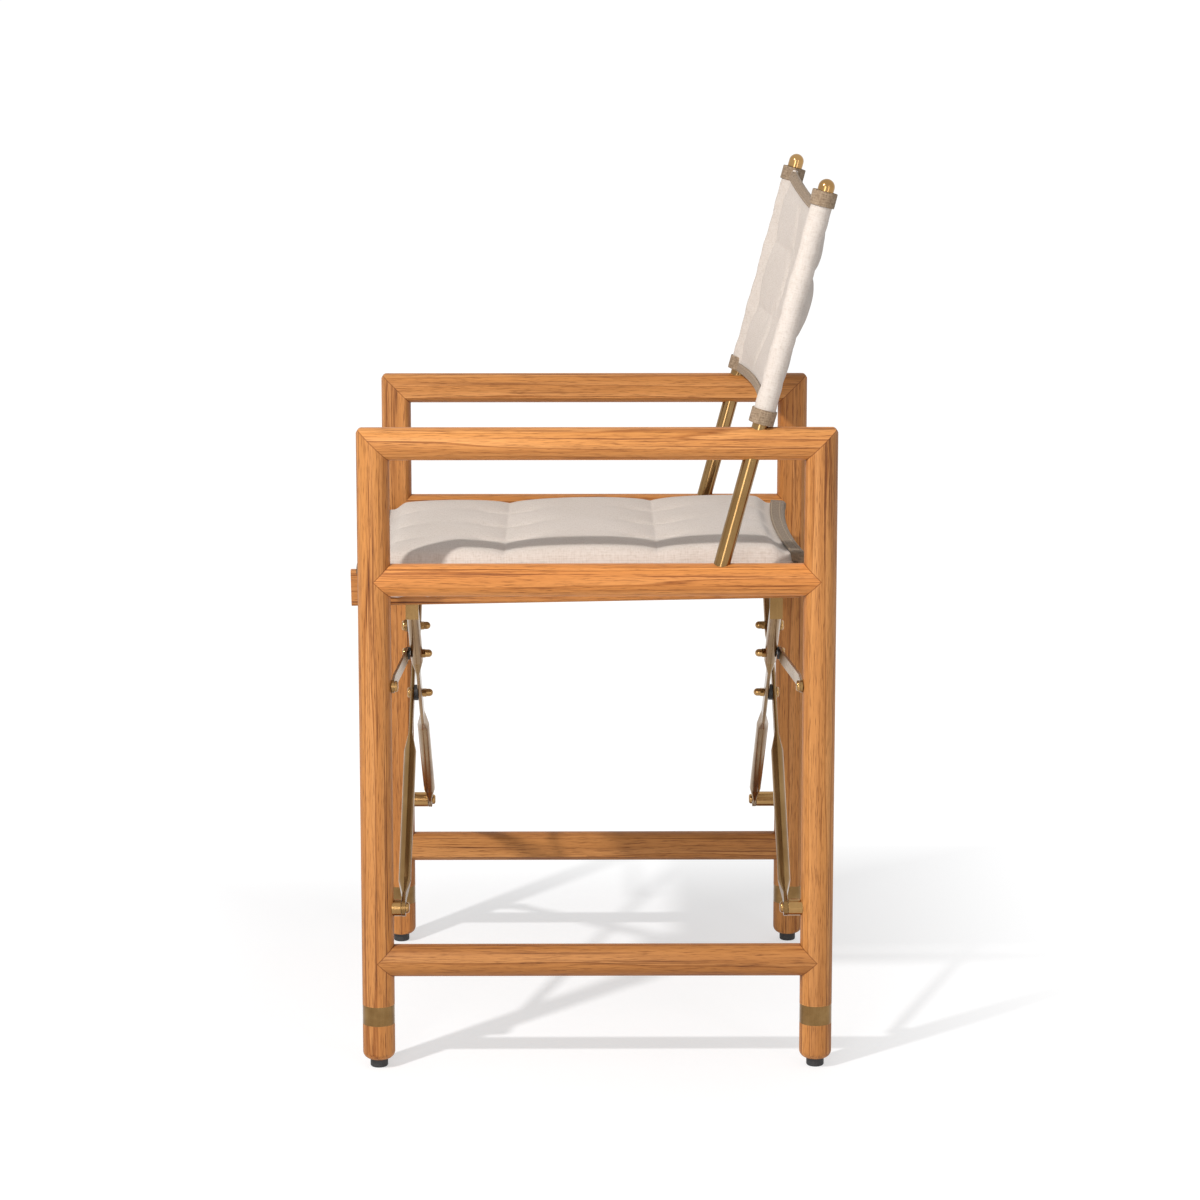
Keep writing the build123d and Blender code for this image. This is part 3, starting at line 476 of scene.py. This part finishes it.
cloth_pitch, thread_pitch = 0.0011, 0.0006
linen = woven("linen", (0.765, 0.69, 0.635), (0.725, 0.645, 0.585), (0.655, 0.57, 0.505), cloth_pitch, 0.22)
tape = woven("taupe_tape", (0.42, 0.31, 0.215), (0.32, 0.228, 0.15), (0.21, 0.145, 0.093), cloth_pitch, 0.45)
dark_tape = woven("taupe_seat_tape", (0.33, 0.245, 0.17), (0.255, 0.183, 0.12), (0.17, 0.117, 0.075),
                  cloth_pitch, 0.45)
thread = woven("taupe_thread", (0.55, 0.44, 0.33), (0.48, 0.37, 0.27), (0.40, 0.30, 0.21), thread_pitch, 0.3)
print("woven finishes", [finish.name for finish in (linen, tape, dark_tape, thread)])

# %% [markdown]
# Every cloth piece starts as a flat grid, like the cloth on the cutting table. Its points are then put where the
# sewn piece has them, its UV map keeps the flat layout for the weave, and modifiers give it a thickness.


# %% Cloth grid helpers
def points_of(cloth):
    """The mesh's points as an array."""
    flat = np.zeros(3 * len(cloth.data.vertices))
    cloth.data.vertices.foreach_get("co", flat)
    return flat.reshape(-1, 3)


def set_points(cloth, points):
    """Puts the mesh's points where the array says."""
    cloth.data.vertices.foreach_set("co", np.asarray(points, float).ravel())
    cloth.data.update()


def cloth_grid(name, columns, rows):
    """A flat grid of columns by rows cells; returns the object and each point's share along both ways."""
    bpy.ops.object.select_all(action="DESELECT")
    bpy.ops.mesh.primitive_grid_add(x_subdivisions=columns, y_subdivisions=rows, size=1.0, location=(0, 0, 0))
    cloth = bpy.context.active_object
    cloth.name = cloth.data.name = name
    return cloth, points_of(cloth)[:, :2] + 0.5


def lay_threads(cloth, places):
    """Writes each point's place on the cutting table, in metres, to the UV map that the weave reads."""
    corners = np.zeros(len(cloth.data.loops), dtype=np.int32)
    cloth.data.loops.foreach_get("vertex_index", corners)
    layer = cloth.data.uv_layers.active
    layer.name = "cloth"
    layer.data.foreach_set("uv", places[corners].ravel())


def pick(piece):
    """Selects one piece alone, for the operators that follow."""
    bpy.ops.object.select_all(action="DESELECT")
    piece.select_set(True)
    bpy.context.view_layer.objects.active = piece


def apply_modifier(piece, kind, **settings):
    """Adds a modifier, sets it, and applies it."""
    pick(piece)
    modifier = piece.modifiers.new(kind.lower(), kind)
    for setting, value in settings.items():
        setattr(modifier, setting, value)
    bpy.ops.object.modifier_apply(modifier=modifier.name)


def finish_cloth(piece, finish):
    """Shades a cloth piece without facets and gives it its finish."""
    piece.data.polygons.foreach_set("use_smooth", np.ones(len(piece.data.polygons), bool))
    piece.data.materials.clear()
    piece.data.materials.append(finish)


# %% [markdown]
# A quilt is two layers of cloth with wadding between them, sewn through along its channels. The grid's rows are
# set so that some lie exactly on the sewn lines. A cloth simulation then holds those lines and blows the cells up
# from below, which is what the wadding does, and the spare cloth gathers into small puckers beside the stitches.


# %% Cloth simulation helper
def stuff(cloth, sewn, pressure, spare, bending, frames=24):
    """Blows up a flat cloth that lies at height 0 and is held along its sewn points."""
    pick(cloth)
    held = cloth.vertex_groups.new(name="sewn")
    held.add([int(point) for point in np.nonzero(sewn)[0]], 1.0, "REPLACE")
    modifier = cloth.modifiers.new("stuffing", "CLOTH")
    settings = modifier.settings
    settings.quality = 6
    settings.mass = 0.2
    settings.tension_stiffness = settings.compression_stiffness = 25
    settings.shear_stiffness = 8
    settings.bending_stiffness = bending
    settings.vertex_group_mass = "sewn"
    settings.use_pressure = True
    settings.uniform_pressure_force = pressure
    settings.shrink_min = -spare
    settings.effector_weights.gravity = 0
    modifier.collision_settings.use_collision = False
    modifier.point_cache.frame_start = 1
    modifier.point_cache.frame_end = frames
    for number in range(1, frames + 1):
        scene.frame_set(number)
    bpy.ops.object.modifier_apply(modifier=modifier.name)
    scene.frame_set(1)
    cloth.vertex_groups.clear()


# %% Quilt face helper
on_line = 1e-5


def spread(share, stops, counts, gather):
    """Maps an even share from 0 to 1 to the places in stops, with counts cells between them.
    The cells crowd towards the stops by gather, from 0 to 1."""
    knots = np.concatenate([[0], np.cumsum(counts)]) / sum(counts)
    stops = np.array(stops)
    cell = np.clip(np.searchsorted(knots, share + 1e-9, side="right") - 1, 0, len(counts) - 1)
    part = (share - knots[cell]) / (knots[cell + 1] - knots[cell])
    part = part - gather * np.sin(2 * pi * part) / (2 * pi)
    return stops[cell] + part * (stops[cell + 1] - stops[cell])


def quilt_face(name, lines, counts, gathers, height, pressure, spare, bending, tuck):
    """One face of a quilt, flat but for its puffs. The lines across the first way are sewn all along, and those
    across the second way only within a tuck of them."""
    cloth, share = cloth_grid(name, sum(counts[0]), sum(counts[1]))
    places = np.column_stack([spread(share[:, way], lines[way], counts[way], gathers[way]) for way in (0, 1)])
    lay_threads(cloth, places)
    flat = np.column_stack([places, np.zeros(len(places))])
    set_points(cloth, flat)
    beside = np.min([np.abs(places[:, 0] - line) for line in lines[0]], axis=0)
    sewn = beside < on_line
    for line in lines[1]:
        end_line = line in (lines[1][0], lines[1][-1])
        sewn |= (np.abs(places[:, 1] - line) < on_line) & ((beside < tuck) | end_line)
    stuff(cloth, sewn, pressure, spare, bending)
    puffed = points_of(cloth)
    top = puffed[:, 2].max()
    print(name, "rises", round(1000 * top, 2), "mm, slides",
          round(1000 * np.abs(puffed[:, :2] - flat[:, :2]).max(), 2), "mm")
    full = np.clip(puffed[:, 2] / top, 0, 1)
    puffed[:, 2] = height * np.sin(full * pi / 2) ** 0.9
    return cloth, puffed


# %% Closed quilt helper
def close_quilt(face, name, first_points, second_points):
    """Copies a quilt face, puts both faces in place, and joins them along their edges into one closed piece."""
    other = bpy.data.objects.new(f"{name}_other_face", face.data.copy())
    scene.collection.objects.link(other)
    set_points(face, first_points)
    set_points(other, second_points)
    pick(face)
    other.select_set(True)
    bpy.ops.object.join()
    face.name = face.data.name = name
    bpy.ops.object.mode_set(mode="EDIT")
    bpy.ops.mesh.select_mode(type="EDGE")
    bpy.ops.mesh.select_all(action="DESELECT")
    bpy.ops.mesh.select_non_manifold(extend=False)
    bpy.ops.mesh.bridge_edge_loops()
    bpy.ops.mesh.select_all(action="SELECT")
    bpy.ops.mesh.normals_make_consistent(inside=False)
    bpy.ops.object.mode_set(mode="OBJECT")
    apply_modifier(face, "SUBSURF", levels=1, render_levels=1)
    finish_cloth(face, linen)
    print(name, len(face.data.polygons), "faces")


# %% [markdown]
# The seat is a padded sling of three puffs from front to back and four across. It lies on the two battens, rolls
# down over their outer edges, and its front and rear edges are pulled in a little between the corners. The upper
# face comes from the simulation. The under face is the same cloth with flatter puffs, and both are joined.

# %% Seat layout
seat_low_corner, seat_high_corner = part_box("seat_sling")
rear_reach = 0.007
seat_x = (seat_low_corner.x, -0.0865, 0.0655, seat_high_corner.x + rear_reach)
seat_half = seat_high_corner.y
seat_y = tuple(seat_half * share for share in (-1, -0.5, 0, 0.5, 1))
seat_under = 0.4958
seat_slope, batten_height = radians(1.0), 0.4775
seat_draw = {"front": 0.004, "rear": 0.009}
roll_from = seat_half - 0.017
tape_ease = 0.014


def sloped(x, y, z):
    """Turns the level seat about the middle of its battens, front end down."""
    run, rise = x - frame_middle_x, z - batten_height
    return np.column_stack([frame_middle_x + run * cos(seat_slope) - rise * sin(seat_slope), y,
                            batten_height + run * sin(seat_slope) + rise * cos(seat_slope)])


def rolled(y, drop):
    """How far the cloth has come down where it rolls over a batten's outer edge."""
    past = np.clip((np.abs(y) - roll_from) / (seat_half - roll_from), 0, 1)
    return drop * (1 - np.sqrt(np.clip(1 - past ** 2.2, 0, 1)))


def under_tape(distance, wide):
    """0 where a tape presses the quilt flat, and 1 further from the edge."""
    clear = np.clip((distance - wide) / tape_ease, 0, 1)
    return clear * clear * (3 - 2 * clear)


print("seat", [round(value, 4) for value in seat_x], "half width", round(seat_half, 4))

# %% Seat quilt
seat_puff, under_puff = 0.0078, 0.45
puff_from, swell_from = 0.004, 0.006
edge_thick, swell_thick = 0.0072, 0.0048
under_lift, under_sag = 0.0016, 0.0010
side_drop, batten_clear = 0.0175, 0.03
tuck_deep, tuck_along, tuck_across = 0.0016, 0.012, 0.005


def seat_place(points, upper):
    """From the flat quilt (x, y, puff) to the place of its upper or under face on the battens."""
    x, y, puff = points.T
    middle = 1 - (y / seat_half) ** 2
    ahead = np.clip((seat_x[1] - x) / (seat_x[1] - seat_x[0]), 0, 1)
    behind = np.clip((x - seat_x[2]) / (seat_x[3] - seat_x[2]), 0, 1)
    drawn = x + middle * (seat_draw["front"] * ahead ** 2 - seat_draw["rear"] * behind ** 2)
    from_end = np.minimum(x - seat_x[0], seat_x[3] - x)
    puff = puff * under_tape(from_end, puff_from)
    swollen = under_tape(from_end, swell_from)
    if upper:
        beside_seam = np.minimum(np.abs(x - seat_x[1]), np.abs(x - seat_x[2]))
        beside_row = np.min([np.abs(y - line) for line in seat_y[1:-1]], axis=0)
        tucks = tuck_deep * np.exp(-(beside_seam / tuck_along) ** 2 - (beside_row / tuck_across) ** 2)
        height = seat_under + edge_thick + swell_thick * swollen + puff - tucks - rolled(y, side_drop)
    else:
        near_batten = np.clip((seat_half - np.abs(y)) / batten_clear, 0, 1)
        height = seat_under + under_lift - under_sag * swollen - under_puff * puff * near_batten
    return sloped(drawn, y, height)


seat_counts = ((32, 36, 30), (22, 22, 22, 22))
seat, puffed = quilt_face("seat_quilt", (seat_x, seat_y), seat_counts, gathers=(0.6, 0.0), height=seat_puff,
                          pressure=5.0, spare=0.0, bending=6.0, tuck=0.022)
close_quilt(seat, "seat_quilt", seat_place(puffed, True), seat_place(puffed, False))
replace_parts(seat, "seat_sling")
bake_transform(seat)

# %% [markdown]
# A tape is folded over the seat's front and rear edges. It is a strip whose section is a flat U: over the top,
# round the edge and back underneath. One grid is laid round that U and along the drawn edge, and given a
# thickness. The rear tape shows a little wider than the front one.

# %% Seat tapes
binding_low, binding_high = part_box("seat_bindings")
tape_widths = {"front": 0.0095, "rear": 0.0115}
tape_thick, tape_half = 0.0010, 0.0043
tape_inset, tape_swell, tape_gap = 0.0026, 0.0012, 0.0002


def fold_section(around, wide, deep):
    """A flat U as two arrays: how far in from the edge, and the height from -1 under to 1 over."""
    turn = pi * deep / 2
    run = around * (2 * wide + turn)
    bend = np.clip((run - wide) / turn, 0, 1) * pi
    further = np.where(run > wide + turn, run - wide - turn, -deep / 2 * np.sin(bend))
    return np.where(run < wide, wide - run, further), np.cos(bend)


def seat_tape_place(end, y, inward, over):
    """A point of a seat tape: y across, inward from the edge, and over from -1 below to 1 above."""
    edge, inward_way = (binding_low.x, 1) if end == "front" else (binding_high.x + rear_reach, -1)
    x = edge + inward_way * (tape_inset + inward + seat_draw[end] * (1 - (y / seat_half) ** 2))
    slope = np.clip(inward / tape_widths[end], 0, 1)
    drop = np.where(over > 0, rolled(y, 2 * tape_half - tape_gap), 0)
    return sloped(x, y, seat_under + tape_half + over * (tape_half + tape_swell * slope) - drop)


def seat_tape(end):
    """The tape on the front or rear edge of the seat."""
    strip, share = cloth_grid(f"seat_{end}_tape", 72, 26)
    flat = (2 * seat_half, 2 * tape_widths[end] + pi * tape_half)
    lay_threads(strip, share * np.array(flat))
    inward, over = fold_section(share[:, 1], tape_widths[end], 2 * tape_half)
    set_points(strip, seat_tape_place(end, seat_half * (2 * share[:, 0] - 1), inward, over))
    apply_modifier(strip, "SOLIDIFY", thickness=tape_thick, offset=0)
    finish_cloth(strip, dark_tape)
    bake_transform(strip)
    print(strip.name, "cut", [round(1000 * size, 1) for size in flat], "mm")
    return strip


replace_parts(seat_tape("front"), "seat_bindings")
seat_tape("rear")

# %% [markdown]
# A machine stitch is a short bead of thread, sunk at both ends. One bead is modelled as a small stretched ball.
# The rest are copies of its points, set end to end along a line on the tape, all in one piece per tape.

# %% Stitches
bead_size = np.array([0.00145, 0.00040, 0.00036])
stitch_step, stitch_ahead = 0.0040, 0.0005
stitch_lift, stitch_inset = 0.0005, 0.0018
bpy.ops.object.select_all(action="DESELECT")
bpy.ops.mesh.primitive_uv_sphere_add(segments=6, ring_count=4, radius=1.0, location=(0, 0, 0))
bead = bpy.context.active_object
bead_points = points_of(bead) * bead_size
bead_faces = [tuple(face.vertices) for face in bead.data.polygons]
bpy.ops.object.delete()


def stitches(name, lines):
    """Beads of thread along lines, each given as points and as the way out of the cloth."""
    points, faces = [], []
    for line, out in lines:
        run = np.concatenate([[0], np.cumsum(np.linalg.norm(np.diff(line, axis=0), axis=1))])
        for place in np.arange(stitch_step, run[-1] - stitch_step, stitch_step):
            middle, ahead = (np.array([np.interp(at, run, line[:, axis]) for axis in range(3)])
                             for at in (place, place + stitch_ahead))
            along = (ahead - middle) / np.linalg.norm(ahead - middle)
            across = np.cross(out, along)
            faces += [tuple(len(points) + corner for corner in face) for face in bead_faces]
            points += list(middle + bead_points @ np.array([along, across, np.cross(along, across)]))
    mesh = bpy.data.meshes.new(name)
    mesh.from_pydata([tuple(point) for point in points], [], faces)
    mesh.uv_layers.new(name="cloth")
    row = bpy.data.objects.new(name, mesh)
    scene.collection.objects.link(row)
    finish_cloth(row, thread)
    print(name, len(faces) // len(bead_faces), "stitches")
    return row


# %% Seat seams
edge_inset = 0.0012
seam_y = np.linspace(-0.165, 0.165, 120)
upward = np.array([0, 0, 1.0])
for end in ("front", "rear"):
    seams = []
    for inset in (edge_inset, tape_widths[end] - stitch_inset):
        line = seat_tape_place(end, seam_y, np.full(len(seam_y), inset), np.ones(len(seam_y)))
        seams.append((line + stitch_lift * upward, upward))
    row = stitches(f"seat_{end}_stitches", seams)
    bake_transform(row)

# %% [markdown]
# Along each side the seat's cloth turns down over the batten and is sewn to itself: a hem on the batten's outer
# face. It is a thin sheet with a slightly wavy lower edge and a top that goes up under the quilt's side.

# %% Seat hems
hem_tall, hem_low = 0.024, 0.4685
hem_thick, hem_off, hem_round = 0.0016, 0.0009, 0.0005


def seat_hem(side, body):
    """The hem on one batten's outer face."""
    low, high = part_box(f"{side}_seat_hem")
    out = 1 if side == "right" else -1
    face = min(abs(low.y), abs(high.y))
    hem, share = cloth_grid(f"{side}_hem_cloth", 90, 10)
    flat = (high.x - low.x, hem_tall)
    lay_threads(hem, share * np.array(flat))
    x = low.x + flat[0] * share[:, 0]
    hanging = 1 - share[:, 1]
    wave = 0.0004 * np.sin(2 * pi * x / 0.037) + 0.0003 * np.sin(2 * pi * x / 0.0143 + 1)
    z = hem_low + hem_tall * share[:, 1] + wave * hanging
    y = out * (face + hem_off + 0.0005 * (1 + np.sin(2 * pi * x / 0.051)) * hanging / 2)
    set_points(hem, sloped(x, y, z))
    apply_modifier(hem, "SOLIDIFY", thickness=hem_thick, offset=0)
    apply_modifier(hem, "BEVEL", width=hem_round, segments=2)
    finish_cloth(hem, linen)
    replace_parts(hem, f"{side}_seat_hem")
    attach(hem, body)
    print(hem.name, "cut", [round(1000 * size, 1) for size in flat], "mm")


seat_hem("left", "cross_frame_b")
seat_hem("right", "cross_frame_a")

# %% [markdown]
# The back hangs between the two posts. It is quilted in three rows and four columns and puffs out on both faces.
# Its top edge dips and its bottom edge rises towards the middle, and the middle gives a little to the rear. The
# panel is laid out flat first, in distance across and distance up the post, and then placed on the leaning plane.

# %% Back layout
lean = radians(15.0)
up_post = np.array([sin(lean), 0, cos(lean)])
to_rear = np.array([cos(lean), 0, -sin(lean)])
post_foot = np.array([0.1204, 0, 0.484])
post_y = 0.233
sleeve_from, sleeve_to = 0.1650, 0.3975
panel_half = 0.2204
scoop_top, scoop_bottom = 0.016, 0.006
panel_drop = 0.008
back_bow = 0.023


def on_back(across, up, rearward):
    """From distance across, up the post and to the rear of it, to a point of the chair."""
    point = post_foot + np.outer(up, up_post) + np.outer(rearward, to_rear)
    point[:, 1] = across
    return point


def towards_middle(across):
    """0 at the panel's sides and 1 in its middle."""
    return np.clip(1 - (across / panel_half) ** 2, 0, 1)


def bow_at(across, up):
    """How far the cloth gives to the rear there."""
    level = np.clip((up - sleeve_from) / (sleeve_to - sleeve_from), 0, 1)
    return back_bow * towards_middle(across) * (0.30 + 0.70 * np.sin(pi * level))


def edge_up(across, top):
    """Where the panel's top or bottom edge lies along the post."""
    if top:
        return sleeve_to - panel_drop - scoop_top * towards_middle(across)
    return sleeve_from + scoop_bottom * towards_middle(across)


print("back panel", round(2 * panel_half, 4), "by", round(sleeve_to - sleeve_from, 4))

# %% [markdown]
# When the chair folds, the posts come together and the slack back crumples between them. A cloth can't be bent by
# the fold here, because no single joint joins the two frames. So the back only rides on the left frame; it is not
# narrowed with the fold.

# %% Back quilt
back_up = tuple(np.linspace(sleeve_from, sleeve_to, 4))
back_across = tuple(np.linspace(-panel_half, panel_half, 5))
back_puff, rear_puff = 0.0034, 2.2
edge_half, under_edge, back_puff_from = 0.0022, 0.002, 0.011


def back_place(points, rear):
    """From the flat quilt (across, up, puff) to the place of its rear or front face between the posts."""
    across, up, puff = points.T
    level = (up - sleeve_from) / (sleeve_to - sleeve_from)
    puff = puff * under_tape(np.minimum(up - sleeve_from, sleeve_to - up), back_puff_from)
    low, high = edge_up(across, False) + under_edge, edge_up(across, True) - under_edge
    placed = low + (high - low) * level
    rearward = edge_half + rear_puff * puff if rear else -edge_half - puff
    return on_back(across, placed, bow_at(across, placed) + rearward)


def crumple(piece):
    """Lets a piece of the back ride on the left frame, with a mesh of its own."""
    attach(piece, "left_frame")
    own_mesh(piece)


back_counts = ((24, 24, 24, 24), (17, 17, 17))
back, puffed = quilt_face("back_quilt", (back_across, back_up), back_counts, gathers=(0.6, 0.6), height=back_puff,
                          pressure=5.0, spare=0.008, bending=3.0, tuck=1.0)
close_quilt(back, "back_quilt", back_place(puffed, True), back_place(puffed, False))
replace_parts(back, "back_sling")
crumple(back)

# %% [markdown]
# The same kind of tape is folded over the panel's top and bottom edges, with a row of stitches on each face.
# It follows the edge's scoop and the panel's bow, so it is laid out with the panel's own functions.

# %% Back tapes
back_tape_wide, back_tape_deep = 0.0065, 0.0066
back_tape_round, back_tape_over, back_tape_swell = 0.010, 0.001, 0.0006


def back_tape_place(top, across, inward, over):
    """A point of a back tape: across, inward from the edge, and over from -1 in front to 1 behind."""
    up = edge_up(across, top) + (-1 if top else 1) * (inward + back_tape_deep / 2 - back_tape_over)
    slope = np.clip(inward / back_tape_wide, 0, 1)
    return on_back(across, up, bow_at(across, up) + over * (back_tape_deep / 2 + back_tape_swell * slope))


def back_tape(name, top):
    """The tape folded over the panel's top or bottom edge, and its stitches."""
    strip, share = cloth_grid(name, 96, 26)
    flat = (2 * panel_half, 2 * back_tape_wide + back_tape_round)
    lay_threads(strip, share * np.array(flat))
    inward, over = fold_section(share[:, 1], back_tape_wide, back_tape_deep)
    set_points(strip, back_tape_place(top, panel_half * (2 * share[:, 0] - 1), inward, over))
    apply_modifier(strip, "SOLIDIFY", thickness=tape_thick, offset=0)
    finish_cloth(strip, tape)
    seam_across = np.linspace(-0.21, 0.21, 140)
    seam_inward = np.full(len(seam_across), back_tape_wide - stitch_inset)
    seams = []
    for face in (-1.0, 1.0):
        line = back_tape_place(top, seam_across, seam_inward, np.full(len(seam_across), face))
        seams.append((line + stitch_lift * face * to_rear, face * to_rear))
    crumple(strip)
    crumple(stitches(f"{name}_stitches", seams))
    print(name, "cut", [round(1000 * size, 1) for size in flat], "mm")
    return strip


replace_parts(back_tape("back_top_tape", True), "back_bindings")
back_tape("back_bottom_tape", False)

# %% [markdown]
# A sleeve at each side of the back slides over its post. The cloth goes round the post and both layers are sewn
# together beside it, so the section is a drop: round at the post and pointed towards the panel.
# A taupe band is turned over each end of the sleeve. Its section is a drop too, a little wider round the post.


# %% Sleeve section
def drop_section(around, radius, reach):
    """A drop round the origin: distance towards the panel, distance to the rear, and the girth."""
    open_angle = acos(radius / reach)
    straight = (reach ** 2 - radius ** 2) ** 0.5
    arc = 2 * (pi - open_angle) * radius
    run = around * (2 * straight + arc)
    turned = open_angle + np.clip((run - straight) / arc, 0, 1) * 2 * (pi - open_angle)
    toward, rear = radius * np.cos(turned), radius * np.sin(turned)
    first = np.clip(run / straight, 0, 1)
    last = np.clip((run - straight - arc) / straight, 0, 1)
    touch = np.array([radius * cos(open_angle), radius * sin(open_angle)])
    toward = np.where(first < 1, reach + (touch[0] - reach) * first, toward)
    rear = np.where(first < 1, touch[1] * first, rear)
    toward = np.where(last > 0, touch[0] + (reach - touch[0]) * last, toward)
    rear = np.where(last > 0, -touch[1] * (1 - last), rear)
    return toward, rear, 2 * straight + arc


def sleeve_cloth(name, side, section, start, stop, thick, rows, lumps):
    """A drop-shaped tube of cloth round one post, from start to stop along it; returns it and its girth."""
    tube, share = cloth_grid(name, 56, rows)
    toward, rear, girth = drop_section(share[:, 0], *section)
    lay_threads(tube, share * np.array([girth, stop - start]))
    up = start + (stop - start) * share[:, 1]
    slow, fast = (np.sin(2 * pi * up / length + turns * share[:, 0]) for length, turns in ((0.061, 3), (0.023, 9)))
    swell = 1 + lumps * (slow + 0.6 * fast) / section[0]
    inboard = -1 if side == "right" else 1
    set_points(tube, on_back(-inboard * post_y + inboard * toward * swell, up, rear * swell))
    apply_modifier(tube, "SOLIDIFY", thickness=thick, offset=0)
    apply_modifier(tube, "BEVEL", width=0.4 * thick, segments=2)
    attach(tube, f"{side}_frame")
    return tube, girth


# %% Sleeves and bands
sleeve_section, band_section = (0.0095, 0.0215), (0.0118, 0.0205)
sleeve_thick, band_thick = 0.0016, 0.0013
band_tall, band_turn = 0.0145, 0.002
for side, slip in (("left", 0.0015), ("right", 0.0045)):
    sleeve_top = sleeve_to - slip
    sleeve, girth = sleeve_cloth(f"{side}_sleeve", side, sleeve_section, sleeve_from + band_turn,
                                 sleeve_top - band_turn, thick=sleeve_thick, rows=60, lumps=0.00042)
    finish_cloth(sleeve, linen)
    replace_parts(sleeve, f"{side}_back_sleeve")
    print(side, "sleeve girth", round(girth, 4))
    for end, start in (("low", sleeve_from), ("high", sleeve_top - band_tall)):
        band, girth = sleeve_cloth(f"{side}_{end}_band", side, band_section, start, start + band_tall,
                                   thick=band_thick, rows=10, lumps=0.0001)
        finish_cloth(band, tape)
        if end == "low":
            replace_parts(band, f"{side}_sleeve_bands")
